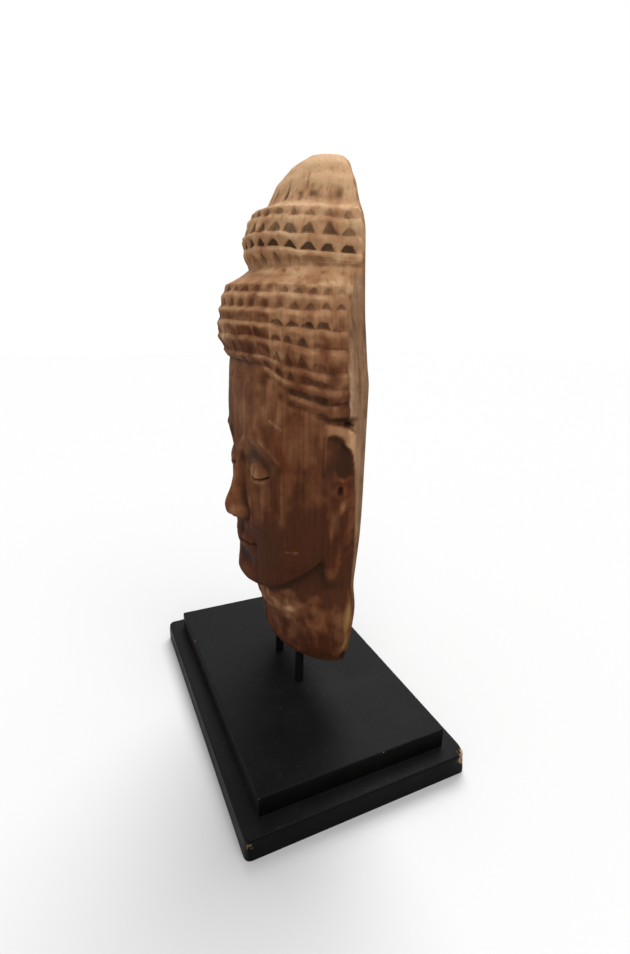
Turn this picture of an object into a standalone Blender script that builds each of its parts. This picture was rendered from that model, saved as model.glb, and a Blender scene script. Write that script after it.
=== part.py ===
"""A half-round Buddha head carved from one thick plank, held by two steel rods over a stepped black plinth.

Metres, +Z up. The origin is the middle of the plinth's underside. The figure faces -Y, with its left ear at
+X and its flat sawn back at +Y.
"""

import bmesh
import bpy
import numpy as np

# The plinth: two boards, the upper one stepped in all round
LOWER_LENGTH = 0.300
LOWER_DEPTH = 0.200
LOWER_THICKNESS = 0.020
UPPER_THICKNESS = 0.018
BOARD_STEP = 0.015
BOARD_GAP = 0.0003
LOWER_CORNER_RADIUS = 0.005
UPPER_CORNER_RADIUS = 0.0015
EDGE_ROUND = 0.0015

# The rods, and their sockets in the boards and in the head
ROD_DIAMETER = 0.008
ROD_SPACING = 0.052
ROD_FROM_BACK = 0.0255
ROD_FREE_LENGTH = 0.042
ROD_IN_LOWER_BOARD = 0.012
ROD_IN_HEAD = 0.045
SOCKET_GAP = 0.0003
ROD_SIDES = 24

# The head: its overall size, and how far its flat back lies behind the plinth's middle
HEAD_HEIGHT = 0.414
HEAD_WIDTH = 0.168
HEAD_DEPTH = 0.092
BACK_BEHIND = 0.020

# Heights on the head, as shares of its height from the foot of the neck to the tip.
# The face keeps the sculptor's three equal parts: hairline to brow, brow to nose base, nose base to chin.
CHIN = 0.150
HAIRLINE = 0.632
THIRD = (HAIRLINE - CHIN) / 3
NOSE_BASE = CHIN + THIRD
BROW = HAIRLINE - THIRD
EYE = BROW - 0.30 * THIRD
MOUTH = NOSE_BASE - 0.34 * THIRD
EAR_FOOT = 0.217
EAR_TOP = 0.529

# Half-widths on the face, as shares of the head's half-width: an eye is a fifth of the face
EYE_HALF = 0.186
EYE_OUT = 0.37
# How far below the upper lid's rim the slit is deepest, as a share of height, and where it dies out and is
# whole, in half-widths of the eye
LID_SLIT = 0.0040
LID_ENDS = (1.16, 0.90)
NOSE_HALF = 0.180
MOUTH_HALF = 0.285
# Heights of the lips, as shares of the head's height
UPPER_LIP = 0.019
LOWER_LIP = 0.024

# Where the rows of curls part, from the crown down, at the front and beside the ear
ROWS_AT_FRONT = (0.776, 0.7585, 0.733, 0.7085, 0.684, 0.653, HAIRLINE, 0.610, 0.588)
ROWS_AT_SIDE = (0.774, 0.754, 0.729, 0.697, 0.665, 0.629, 0.603, 0.577, 0.545)
# How the rows fan out between the two: (share of the way round, share of the way from front to side). A seam
# in the cutting shows as a small step.
ROWS_FAN = ((0.34, 0.0), (0.405, 0.07), (0.425, 0.24), (0.60, 0.66), (0.80, 1.0))
# The first column from the middle that has curls, row by row: the last two rows start at the temples
ROW_STARTS = (0, 0, 0, 0, 0, 0, 4, 6)
# The column from which a row runs on as one long bar, and a column that no row reaches
NEVER = 99
BAR_STARTS = (NEVER, NEVER, 8, 7, 8, 7, 6, 6)
# How high each row stands, against the highest
ROW_RISES = (0.55, 0.9, 1.0, 1.0, 1.0, 0.9, 0.9, 0.8)
CURL_COLUMNS = 9
CURLS_PER_HALF = 10.8
CURL_RISE = 0.043
# How far each row's curls drift towards the face, in curls, and where round the head that starts and ends
ROW_DRIFTS = (0.0, 0.0, -0.10, -0.45, -0.48, -0.28, -0.15, -0.30)
DRIFT_STARTS = (0.42, 0.58)
DRIFT_ENDS = (0.86, 0.76)
# The curls are worn down towards the plank's side: the columns where that starts and ends, and what is left
SIDE_FADE = (7.5, 9.5)
SIDE_LEFT = 0.5

# The same for the topknot, whose columns meet at the middle in a cut and not in a curl
TOPKNOT_AT_FRONT = (0.905, 0.889, 0.860, 0.837, 0.810)
TOPKNOT_AT_SIDE = (0.898, 0.876, 0.8475, 0.8205, 0.8045)
TOPKNOT_FAN = ((0.05, 0.0), (0.30, 0.20), (0.65, 0.80), (0.90, 1.0))
TOPKNOT_RISES = (0.7, 1.0, 1.0, 0.95)
TOPKNOT_COLUMNS = 7
TOPKNOT_PER_HALF = 7.27
TOPKNOT_SHIFT = -0.018
TOPKNOT_CURL_RISE = 0.044
# Worn notches above the topknot's curls, as shares of the way round, and their height and half-sizes
NOTCHES = (-0.78, -0.55, -0.30, 0.02, 0.24, 0.45, 0.62, 0.82)
NOTCH_HEIGHT = 0.920
NOTCH_HALF_WIDTH = 0.05
NOTCH_HALF_HEIGHT = 0.020
NOTCH_DEPTH = 0.009

# A row is proudest along the ledge near its top, and leans back to its foot, where it is notched.
# Shares of the row's rise: along the ledge over a notch and between notches, along a bar, and at the foot
# between notches.
LEDGE_FROM_TOP = 0.24
LEDGE_OVER_NOTCH = 0.62
LEDGE_BETWEEN = 1.0
BAR_LEDGE = 0.85
BODY_FOOT = 0.80
# A hand-cut grid is a little uneven
CUT_DRIFT = 0.14
RISE_SPREAD = 0.30
CURL_SEED = 11

# Half-width of the plank, seen from the front: (share of height, share of half-width)
OUTLINE = ((0.0, 0.74), (0.022, 0.79), (0.045, 0.865), (0.10, 0.93), (0.155, 0.965), (0.205, 0.92),
           (0.25, 0.945), (0.33, 0.99), (0.40, 1.0), (0.60, 1.0), (0.64, 0.955), (0.68, 0.915),
           (0.725, 0.872), (0.80, 0.833), (0.86, 0.805), (0.885, 0.76), (0.908, 0.68), (0.942, 0.595),
           (0.956, 0.536), (0.971, 0.488), (0.988, 0.357), (0.996, 0.24), (1.0, 0.12))
# Depths from the flat back, as shares of the head's depth
NECK_DEPTH = ((0.0, 0.465), (0.02, 0.50), (0.06, 0.52), (0.085, 0.545), (0.105, 0.575), (0.13, 0.59),
              (0.16, 0.595), (0.30, 0.60))
FACE_DEPTH = ((0.10, 0.55), (CHIN, 0.68), (0.163, 0.745), (0.185, 0.775), (0.222, 0.755), (0.26, 0.77),
              (0.31, 0.78), (0.37, 0.785), (0.43, 0.79), (BROW, 0.82), (0.54, 0.83), (0.60, 0.82),
              (0.65, 0.80))
HAIR_DEPTH = ((0.50, 0.785), (0.60, 0.80), (0.63, 0.815), (0.64, 0.837), (0.662, 0.877), (0.69, 0.912),
              (0.72, 0.897), (0.745, 0.877), (0.771, 0.812), (0.778, 0.772), (0.785, 0.722), (0.792, 0.685),
              (0.80, 0.64))
TOPKNOT_DEPTH = ((0.79, 0.58), (0.805, 0.61), (0.83, 0.668), (0.855, 0.673), (0.875, 0.633), (0.889, 0.61),
                 (0.896, 0.57), (0.903, 0.505), (0.911, 0.48), (0.932, 0.44), (0.947, 0.41), (0.961, 0.357),
                 (0.973, 0.315), (0.983, 0.266), (0.990, 0.215), (0.996, 0.17), (1.0, 0.135))
# Half-width of the face without its ears
FACE_WIDTH = ((0.10, 0.10), (CHIN, 0.30), (0.160, 0.50), (0.180, 0.66), (0.21, 0.78), (0.26, 0.885),
              (0.33, 0.94), (0.42, 0.955), (0.52, 0.955), (0.60, 0.93), (0.66, 0.91))
# The ear's front edge: (share of height, share of depth from the back). The upper edges of the ear and of
# its hollow: (share of depth from the back, share of height)
EAR_FRONT = ((EAR_FOOT, 0.250), (0.27, 0.298), (0.356, 0.324), (0.44, 0.332), (0.50, 0.337),
             (EAR_TOP, 0.337))
EAR_TOP_EDGE = ((0.06, 0.512), (0.086, 0.518), (0.134, 0.5244), (0.229, 0.532), (0.278, 0.5345),
                (0.336, 0.536))
EAR_HOLLOW_EDGE = ((0.080, 0.440), (0.087, 0.450), (0.118, 0.4826), (0.171, 0.494), (0.212, 0.5118),
                   (0.289, 0.5172), (0.338, 0.515))
# The lower edge of the jaw: (share of the way round from the middle, share of height)
JAW = ((0.0, CHIN), (0.14, 0.152), (0.30, 0.162), (0.45, 0.182), (0.60, 0.212), (0.72, 0.242), (0.80, 0.265),
       (1.0, 0.275))
# The plank's straight side: how far it runs forward from the back, and the heights where it dies out
SIDE_STRIP = 0.185
SIDE_STRIP_ENDS = (0.765, 0.80)
LEAST_STRIP = 0.0005
FACE_STRIP = 0.24
# The topknot's own straight side, so short that its plan closes at the back corners
TOPKNOT_STRIP = 0.0004
# The shape of the plans: 2 is an ellipse, and more is squarer
PLANK_POWER = 2.0
FACE_POWER = 2.2
NECK_POWER = 1.9
# The angles from straight ahead where the face's relief starts to fade out and where it is gone
FACE_RELIEF_ENDS = (1.05, 1.35)
# How far forward the plank's own bare side shows, as a share of the head's depth
BARE_SIDE = 0.075
# Depth of the smooth envelope that the columns are spaced along, below the topknot
TOPKNOT_FOOT = 0.785
GUIDE_DEPTH = ((0.0, 0.80), (0.72, 0.80), (TOPKNOT_FOOT, 0.58))
AXIS_FROM_BACK = 0.087

# How finely the solid is divided. The columns below the hair crowd round the nose and the ears:
# (share of the columns from the middle, share of the way round)
FACE_COLUMNS_PER_HALF = 31
FACE_COLUMNS = ((0.0, 0.0), (0.34, 0.24), (0.66, 0.69), (0.96, 0.95), (1.0, 1.0))
STRIP_COLUMNS = 3


def through(points, at):
    """Values on a smooth curve through (place, value) pairs, with no overshoot between them."""
    place, value = np.array(points, float).T
    step = np.diff(place)
    slope = np.diff(value) / step
    tangent = np.concatenate([slope[:1], np.zeros(len(slope) - 1), slope[-1:]])
    turning = slope[1:] * slope[:-1]
    keeps = np.flatnonzero(turning > 0)
    tangent[keeps + 1] = 2 * turning[keeps] / (slope[1:] + slope[:-1])[keeps]
    at = np.clip(at, place[0], place[-1])
    i = np.clip(np.searchsorted(place, at, side="right") - 1, 0, len(step) - 1)
    t = (at - place[i]) / step[i]
    return (
        value[i] * (1 + 2 * t) * (1 - t) ** 2
        + tangent[i] * step[i] * t * (1 - t) ** 2
        + value[i + 1] * t * t * (3 - 2 * t)
        + tangent[i + 1] * step[i] * t * t * (t - 1)
    )


def ease(low, high, at):
    """0 at low, 1 at high, and a smooth step between them, whichever is larger."""
    t = np.clip((at - low) / (high - low), 0, 1)
    return t * t * (3 - 2 * t)


def dome(x, y):
    """A smooth dome, 1 at the origin and 0 from a distance of 1."""
    return np.clip(1 - x * x - y * y, 0, 1) ** 2


def line(distance, width):
    """A soft line, 1 on it, that has faded out a little over one width away."""
    return np.exp(-((distance / width) ** 2))


def half_width(h):
    return through(OUTLINE, h) * HEAD_WIDTH / 2


def guide_depth(h):
    """Depth of the smooth envelope that columns are spaced along."""
    return np.where(h < TOPKNOT_FOOT, through(GUIDE_DEPTH, h), through(TOPKNOT_DEPTH, h)) * HEAD_DEPTH


def strip_depth(h):
    """How far the plank's straight side runs forward from the back. It dies out at the topknot."""
    return SIDE_STRIP * HEAD_DEPTH * (1 - ease(*SIDE_STRIP_ENDS, h)) + LEAST_STRIP


def reach(angle, width, depth, strip, power):
    """Distance from the head's axis to a body whose plan is straight-sided up to strip from the back, and
    then closes in a superellipse of this half-width and depth. Angle 0 points forward."""
    axis = AXIS_FROM_BACK * HEAD_DEPTH
    low, high = np.zeros_like(angle), np.full_like(angle, 2 * HEAD_WIDTH)
    for _ in range(40):
        middle = (low + high) / 2
        across = np.abs(middle * np.sin(angle)) / width
        forward = np.clip(axis + middle * np.cos(angle) - strip, 0, None) / (depth - strip)
        inside = across**power + forward**power < 1
        low, high = np.where(inside, middle, low), np.where(inside, high, middle)
    return low


def angle_table(shares=240, heights=400):
    """Angle from the head's axis for each share of the way round, 0 at the middle to 1 at a back corner, and
    each height: a share is a share of the length of the envelope's plan."""
    axis = AXIS_FROM_BACK * HEAD_DEPTH
    turn = np.linspace(0, np.pi / 2, 120)
    table = np.empty((heights + 1, shares + 1))
    for i, h in enumerate(np.linspace(0, 1, heights + 1)):
        width, strip, depth = half_width(h), strip_depth(h), guide_depth(h)
        x = np.concatenate([width * np.sin(turn), [width]])
        y = np.concatenate([strip + (depth - strip) * np.cos(turn), [0]])
        run = np.concatenate([[0], np.cumsum(np.hypot(np.diff(x), np.diff(y)))])
        table[i] = np.interp(np.linspace(0, 1, shares + 1) * run[-1], run, np.arctan2(x, y - axis))
    return table


def angle_at(table, share, h):
    """The table's angle at any share and height, negative on the figure's right side."""
    row, column = np.clip(h, 0, 1) * (len(table) - 1), np.abs(share) * (table.shape[1] - 1)
    i, j = np.minimum(row.astype(int), len(table) - 2), np.minimum(column.astype(int), table.shape[1] - 2)
    v, u = row - i, column - j
    low = table[i, j] * (1 - u) + table[i, j + 1] * u
    high = table[i + 1, j] * (1 - u) + table[i + 1, j + 1] * u
    return (low * (1 - v) + high * v) * np.sign(share)


def nose_relief(side, h):
    """A straight nose with a soft ridge, round wings and a base cut back to the lip."""
    bridge = BROW - 0.05 * THIRD
    down = np.clip((bridge - h) / (bridge - NOSE_BASE), 0, 1.2)
    rises = ((0, 0.02), (0.2, 0.22), (0.55, 0.60), (0.84, 1.0), (0.94, 0.93), (1.0, 0.42), (1.06, 0))
    widths = ((0, 0.42), (0.35, 0.52), (0.7, 0.74), (0.88, 0.95), (1, 0.9))
    across = side / NOSE_HALF / through(widths, down)
    ridge = 0.165 * through(rises, down) * np.clip(1 - across**1.8, 0, 1)
    out, up = side / NOSE_HALF, (h - NOSE_BASE) / THIRD
    wing = 0.052 * dome((out - 0.70) / 0.46, (up - 0.10) / 0.16)
    nostril = -0.030 * dome((out - 0.42) / 0.24, up / 0.045)
    return ridge + wing + nostril


def brow_line(side):
    """Height of the brow's arch."""
    arch = ((0.04, -0.22), (0.13, 0.0), (0.26, 0.11), (0.40, 0.135), (0.56, 0.05), (0.72, -0.16))
    return BROW + THIRD * through(arch, side)


def lid_line(side):
    """Height of the upper lid's rim, which hangs a little in its middle."""
    across = (side - EYE_OUT) / EYE_HALF
    return EYE - 0.0085 * np.clip(1 - across**2, 0, 1) + 0.003 * np.clip(across, -1, 1)


def lip_line(side):
    """Height of the parting of the lips, turned up a little at its ends."""
    across = np.clip(side / MOUTH_HALF, 0, 1)
    return MOUTH + 0.0055 * across**2 - 0.0014 * np.cos(2 * np.pi * across)


def eye_relief(side, h):
    """A half-closed eye under a long arched brow."""
    line_of_brow = brow_line(side)
    brow = 0.016 * line(h - line_of_brow - 0.003, 0.008) * ease(0.78, 0.60, side) * ease(0.03, 0.09, side)
    below = ease(line_of_brow, line_of_brow - 0.013, h)
    socket = -0.052 * below * dome((side - 0.33) / 0.36, (h - EYE - 0.016) / 0.062)
    across = (side - EYE_OUT) / EYE_HALF
    ball = 0.064 * dome(across / 1.18, (h - EYE - 0.001) / 0.036) ** 0.85
    slit = -0.028 * line(h - lid_line(side) + LID_SLIT, 0.6 * LID_SLIT) * ease(*LID_ENDS, np.abs(across))
    return brow + socket + ball + slit


def mouth_relief(side, h):
    """Full lips with a soft smile, the groove above them and the chin below."""
    across = side / MOUTH_HALF
    full = np.clip(1 - across**2, 0, 1)
    parting = lip_line(side)
    bow = 1 - 0.15 * line(side, 0.035) + 0.10 * line(side - 0.09, 0.05)
    above, under = (h - parting) / (UPPER_LIP * bow), (parting - h) / LOWER_LIP
    upper = 0.042 * full**0.75 * np.where(above >= 0, np.clip(1 - above**2, 0, 1) ** 0.8, 0)
    lower = 0.046 * full * np.where(under > 0, np.clip(1 - under**2, 0, 1) ** 0.8, 0)
    between = -0.020 * line(h - parting, 0.0028) * ease(1.16, 0.85, across)
    corner = -0.020 * dome((across - 1.05) / 0.22, (h - parting) / 0.017)
    groove = -0.010 * dome(side / 0.045, (h - NOSE_BASE + 0.024) / 0.024)
    under_lip = -0.014 * dome(side / 0.26, (h - parting + 0.036) / 0.016)
    chin = 0.036 * dome(side / 0.30, (h - CHIN - 0.036) / 0.038)
    return upper + lower + between + corner + groove + under_lip + chin


def face_relief(across, h):
    """What stands out of the face's smooth oval, as a share of the head's depth, at a share of its
    half-width."""
    side = np.abs(across)
    cheek = 0.016 * dome((side - 0.52) / 0.34, (h - NOSE_BASE - 0.045) / 0.10)
    return nose_relief(side, h) + eye_relief(side, h) + mouth_relief(side, h) + cheek


def ear_relief(forward, h):
    """The long ear, cut into the plank's side: how deep it is cut at a height and a distance forward from
    the flat back, how much of the place it covers, and how deep the groove behind it is."""
    front = through(EAR_FRONT, h)
    top = through(EAR_TOP_EDGE, forward)
    covers = ease(front + 0.026, front - 0.004, forward) * ease(EAR_FOOT - 0.030, EAR_FOOT + 0.014, h)
    covers = covers * ease(top + 0.005, top - 0.003, h)
    rim = through(EAR_HOLLOW_EDGE, forward)
    bowl = -0.046 * ease(rim + 0.002, rim - 0.009, h) * ease(0.425, 0.462, h) * ease(0.342, 0.326, forward)
    bowl = bowl * ease(0.080, 0.120, forward)
    deep = -0.075 * dome((forward - 0.182) / 0.082, (h - 0.463) / 0.033) ** 0.6
    lobe = -0.026 * dome((forward - 0.215) / 0.070, (h - 0.305) / 0.075) ** 0.7
    behind = -0.026 * line(forward - 0.050, 0.016) * ease(0.20, 0.25, h) * ease(0.36, 0.32, h)
    return bowl + deep + lobe, covers, behind


def face_oval(angle, h):
    """Distance from the head's axis to the smooth oval that the face is cut from."""
    depth = through(FACE_DEPTH, h) * HEAD_DEPTH
    strip = np.minimum(FACE_STRIP * HEAD_DEPTH, 0.8 * depth)
    return reach(angle, through(FACE_WIDTH, h) * HEAD_WIDTH / 2, depth, strip, FACE_POWER)


def carved(share, angle, h):
    """Distance from the head's axis to the surface below the hair: neck, face, ears and the plank's bare
    sides."""
    plank = reach(angle, half_width(h), guide_depth(h), strip_depth(h), PLANK_POWER)
    neck = reach(angle, half_width(h), through(NECK_DEPTH, h) * HEAD_DEPTH, LEAST_STRIP, NECK_POWER)
    face = face_oval(angle, h)
    across = face * np.sin(angle) / (HEAD_WIDTH / 2)
    face = face + face_relief(across, h) * HEAD_DEPTH * (1 - ease(*FACE_RELIEF_ENDS, np.abs(angle)))
    jaw = through(JAW, np.abs(share))
    body = neck + np.maximum(face - neck, 0) * ease(jaw - 0.004, jaw + 0.006, h)
    forward = AXIS_FROM_BACK + plank * np.cos(angle) / HEAD_DEPTH
    cut, covers, behind = ear_relief(forward, h)
    body = np.where(forward < BARE_SIDE, np.maximum(body, plank + behind * HEAD_DEPTH), body)
    return np.maximum(body, body + (plank + cut * HEAD_DEPTH - body) * covers)


def hair_base(angle, h):
    """The surface that the main hair's curls stand on."""
    return reach(angle, half_width(h), through(HAIR_DEPTH, h) * HEAD_DEPTH, strip_depth(h), PLANK_POWER)


def topknot_base(share, angle, h):
    """The surface that the topknot's curls stand on, and the worn tip above them."""
    base = reach(angle, half_width(h), through(TOPKNOT_DEPTH, h) * HEAD_DEPTH, TOPKNOT_STRIP, PLANK_POWER)
    up = (h - NOTCH_HEIGHT) / NOTCH_HALF_HEIGHT
    worn = sum(dome((share - at) / NOTCH_HALF_WIDTH, up) for at in NOTCHES)
    return base - NOTCH_DEPTH * HEAD_DEPTH * worn


def row_parts(at_front, at_side, fan, share):
    """Heights where the rows part, one row of heights for each parting, for each share of the way round."""
    turn = through(fan, np.abs(share))[None]
    return np.array(at_front)[:, None] * (1 - turn) + np.array(at_side)[:, None] * turn


def curl_nodes(parts, share, columns, inner, per_half, rises, starts, bar_starts, rise, seed):
    """Nodes of a hand-cut grid of curls, from the crown down. Even rows are the level cuts and odd rows the
    ledges; columns holds each line's place counted in curls, whole over a notch, and inner says which lines
    are part of the grid. Returns each node's share, height and rise, and whether curls cover or touch it."""
    drift = np.random.default_rng(seed)
    rows = 2 * len(rises) + 1
    height = np.empty((rows, len(share)))
    height[::2] = parts
    height[1::2] = parts[:-1] * (1 - LEDGE_FROM_TOP) + parts[1:] * LEDGE_FROM_TOP
    shares = np.repeat(share[None], rows, 0)
    inside = np.zeros((rows, len(share)), bool)
    inside[2:-1:2] = inner
    pitch = np.repeat(np.abs(np.diff(parts, axis=0)), 2, 0)
    pitch = np.concatenate([pitch, pitch[-1:]])
    shift = np.where(inside, CUT_DRIFT * pitch * (drift.random(height.shape) - 0.5), 0)
    shift[1::2] = shift[:-1:2]
    height += shift
    shares += np.where(inside, CUT_DRIFT / per_half * (drift.random(height.shape) - 0.5), 0)
    uneven = 1 + RISE_SPREAD * (drift.random(height.shape) - 0.6)
    lift = np.zeros_like(height)
    covered = np.zeros_like(inside)
    touched = np.zeros_like(inside)
    notch = inner & over_a_notch(columns)
    place = np.abs(columns)
    for row, (row_rise, start, bar_start) in enumerate(zip(rises, starts, bar_starts)):
        ledge, foot = 2 * row + 1, 2 * row + 2
        runs = inner & (place > start - 0.4)
        bar = place >= bar_start
        top = np.where(bar, BAR_LEDGE, np.where(notch, LEDGE_OVER_NOTCH, LEDGE_BETWEEN))
        low = np.where(bar | notch, 0, BODY_FOOT)
        lift[ledge] = np.where(runs, row_rise * rise * top * uneven[ledge], 0)
        lift[foot] = np.where(runs, row_rise * rise * low * uneven[foot], 0)
        touched[ledge - 1 : ledge + 2] |= place > start - 0.6
    for row, start in enumerate(starts):
        above, below = starts[max(row - 1, 0)], start
        covered[2 * row] = place > max(above, below) - 0.4
        covered[2 * row + 1] = place > start - 0.4
    return shares, height, lift, covered, touched


def over_a_notch(columns):
    """Whether a line runs along the middle of a column of notches."""
    return np.abs(columns - np.round(columns)) < 0.1


def stepped(rails, counts):
    """Rows between rails: each rail, and evenly between it and the next, as many steps as its count."""
    rows = [rails[0]]
    for low, high, count in zip(rails, rails[1:], counts):
        rows += [low + (high - low) * (k + 1) / count for k in range(count)]
    return np.array(rows)


def placed(angle, distance, height):
    """World points of a grid of angles and distances from the head's axis, its ends on the flat back's
    corners."""
    x = distance * np.sin(angle)
    y = AXIS_FROM_BACK * HEAD_DEPTH + distance * np.cos(angle)
    x[:, 0], x[:, -1] = -half_width(height[:, 0]), half_width(height[:, -1])
    y[:, 0] = y[:, -1] = 0
    z = LOWER_THICKNESS + UPPER_THICKNESS + ROD_FREE_LENGTH + height * HEAD_HEIGHT
    return np.stack([x, BACK_BEHIND - np.clip(y, 0, None), z], -1)


def face_rail(table, share, level, line_of):
    """Heights of one of the face's lines, for each share of the way round."""
    h = np.full_like(share, level)
    angle = angle_at(table, share, h)
    return line_of(np.abs(face_oval(angle, h) * np.sin(angle)) / (HEAD_WIDTH / 2))


def below_grid(table):
    """Neck, face and ears, up to just below the lowest parting of the hair, in rows that follow the jaw, the
    lips, the lids and the brow."""
    t = np.linspace(-1, 1, 2 * FACE_COLUMNS_PER_HALF + 1)
    share = through(FACE_COLUMNS, np.abs(t)) * np.sign(t)
    flat = np.ones_like(share)
    jaw = through(JAW, np.abs(share))
    lips = np.maximum(face_rail(table, share, MOUTH, lip_line), jaw + 0.022)
    lid = face_rail(table, share, EYE, lid_line)
    brow = face_rail(table, share, BROW, brow_line)
    chin = np.maximum(lips - LOWER_LIP, jaw + 0.014)
    rails = [0 * flat, 0.008 * flat, jaw - 0.004, jaw + 0.008, chin, lips, lips + 0.9 * UPPER_LIP,
             NOSE_BASE * flat - 0.005, NOSE_BASE * flat + 0.004, lid - 2.2 * LID_SLIT, lid - LID_SLIT, lid,
             brow - 0.013, brow, EAR_TOP * flat - 0.004, EAR_TOP * flat + 0.006,
             row_parts(ROWS_AT_FRONT, ROWS_AT_SIDE, ROWS_FAN, share)[-1] - 0.004]
    heights = stepped(rails, [1, 5, 2, 3, 3, 2, 2, 1, 7, 1, 1, 3, 1, 3, 1, 2])
    shares = np.repeat(share[None], len(heights), 0)
    angle = angle_at(table, shares, heights)
    return share, placed(angle, carved(shares, angle, heights), heights)


def hair_grid(table):
    """The main hair's curls and the shelf above them, from the lowest parting up."""
    columns = np.arange(-2 * CURL_COLUMNS - 1, 2 * CURL_COLUMNS + 2) / 2
    inner = columns / CURLS_PER_HALF
    outer = np.linspace(inner[-1], 1, STRIP_COLUMNS + 1)[1:]
    share = np.concatenate([-outer[::-1], inner, outer])
    columns = share * CURLS_PER_HALF
    inner = np.abs(columns) < CURL_COLUMNS + 0.6
    parts = row_parts(ROWS_AT_FRONT, ROWS_AT_SIDE, ROWS_FAN, share)
    rise = CURL_RISE * HEAD_DEPTH * (1 - (1 - SIDE_LEFT) * ease(*SIDE_FADE, np.abs(columns)))
    shares, heights, lift, covered, touched = curl_nodes(
        parts, share, columns, inner, CURLS_PER_HALF, ROW_RISES, ROW_STARTS, BAR_STARTS, rise, CURL_SEED
    )
    drift = np.repeat(ROW_DRIFTS, 2)[:, None] / CURLS_PER_HALF
    drift = drift * ease(*DRIFT_STARTS, np.abs(share)) * ease(*DRIFT_ENDS, np.abs(share))
    shares[:-1] += drift * np.sign(share)
    angle = angle_at(table, shares, heights)
    hair, bare = hair_base(angle, heights), carved(shares, angle, heights)
    distance = np.where(covered, hair + lift, np.where(touched, np.minimum(hair, bare), bare))
    flat = np.ones_like(share)
    shelf = stepped([parts[0], 0.786 * flat, 0.794 * flat, 0.800 * flat], [1, 1, 1])[1:]
    shelf_angle = angle_at(table, np.repeat(share[None], len(shelf), 0), shelf)
    points = placed(
        np.concatenate([angle[::-1], shelf_angle]),
        np.concatenate([distance[::-1], hair_base(shelf_angle, shelf)]),
        np.concatenate([heights[::-1], shelf]),
    )
    return share, points, notch_tops(len(points), inner & over_a_notch(columns))


def topknot_grid(table):
    """The topknot's curls and its worn tip, from the foot up."""
    lines = np.arange(-2 * TOPKNOT_COLUMNS, 2 * TOPKNOT_COLUMNS + 1)
    share = np.concatenate([[-1.0], lines / (2 * TOPKNOT_PER_HALF) + TOPKNOT_SHIFT, [1.0]])
    columns = (share - TOPKNOT_SHIFT) * TOPKNOT_PER_HALF + 0.5
    inner = np.abs(share) < 1
    parts = row_parts(TOPKNOT_AT_FRONT, TOPKNOT_AT_SIDE, TOPKNOT_FAN, share)
    count = len(TOPKNOT_RISES)
    shares, heights, lift, _, _ = curl_nodes(
        parts, share, columns, inner, TOPKNOT_PER_HALF, TOPKNOT_RISES, (0,) * count, (NEVER,) * count,
        TOPKNOT_CURL_RISE * HEAD_DEPTH, CURL_SEED + 1,
    )
    flat = np.ones_like(share)
    rails = [parts[0]] + [h * flat for h in (0.912, 0.928, 0.945, 0.972, 0.985, 0.994, 1.0)]
    tip = stepped(rails, [1, 2, 2, 2, 1, 1, 1])[1:]
    tip_shares = np.repeat(share[None], len(tip), 0)
    shares, heights = np.concatenate([shares[::-1], tip_shares]), np.concatenate([heights[::-1], tip])
    lift = np.concatenate([lift[::-1], 0 * tip])
    angle = angle_at(table, shares, heights)
    points = placed(angle, topknot_base(shares, angle, heights) + lift, heights)
    return share, points, notch_tops(len(points), inner & over_a_notch(columns))


def notch_tops(rows, notch):
    """Which nodes of a grid that starts on a level cut are at the tops of notches, on the ledges."""
    return (np.arange(rows) % 2 == 1)[:, None] & notch[None]


def grid_faces(index, tops=None):
    """Two triangles for each cell, split through its notch's top where it has one, so that a notch is a
    triangle."""
    faces = []
    for i in range(index.shape[0] - 1):
        for j in range(index.shape[1] - 1):
            a, b, c, d = index[i, j], index[i, j + 1], index[i + 1, j + 1], index[i + 1, j]
            along = (i + j) % 2 == 0 if tops is None else tops[i, j] or tops[i + 1, j + 1]
            faces += [(a, b, c), (a, c, d)] if along else [(a, b, d), (b, c, d)]
    return faces


def zipped(low, high):
    """Triangles between two chains of (place, vertex), whichever is behind stepping on."""
    faces, i, j = [], 0, 0
    while i < len(low) - 1 or j < len(high) - 1:
        if j == len(high) - 1 or (i < len(low) - 1 and low[i + 1][0] <= high[j + 1][0]):
            faces.append((low[i][1], low[i + 1][1], high[j][1]))
            i += 1
        else:
            faces.append((low[i][1], high[j + 1][1], high[j][1]))
            j += 1
    return faces


def material(name, colour, roughness, metallic=0.0):
    made = bpy.data.materials.new(name)
    made.use_nodes = True
    shader = made.node_tree.nodes["Principled BSDF"]
    shader.inputs["Base Color"].default_value = (*colour, 1.0)
    shader.inputs["Roughness"].default_value = roughness
    shader.inputs["Metallic"].default_value = metallic
    return made


def add(name, mesh, finish):
    made = bpy.data.objects.new(name, mesh)
    bpy.context.scene.collection.objects.link(made)
    mesh.materials.append(finish)
    return made


def board(name, length, depth, thickness, corner_radius, finish):
    """A board centred over the origin, standing on Z 0 of its own, with rounded corners and eased top
    edges."""
    shape = bmesh.new()
    bmesh.ops.create_cube(shape, size=1)
    bmesh.ops.scale(shape, vec=(length, depth, thickness), verts=shape.verts)
    bmesh.ops.translate(shape, vec=(0, 0, thickness / 2), verts=shape.verts)
    upright = [e for e in shape.edges if abs(e.verts[0].co.z - e.verts[1].co.z) > thickness / 2]
    bmesh.ops.bevel(shape, geom=upright, offset=corner_radius, segments=4, profile=0.5, affect="EDGES")
    top = [e for e in shape.edges if all(v.co.z > thickness * 0.99 for v in e.verts)]
    eased = min(EDGE_ROUND, thickness / 4)
    bmesh.ops.bevel(shape, geom=top, offset=eased, segments=2, profile=0.5, affect="EDGES")
    mesh = bpy.data.meshes.new(name)
    shape.to_mesh(mesh)
    shape.free()
    return add(name, mesh, finish)


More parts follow.
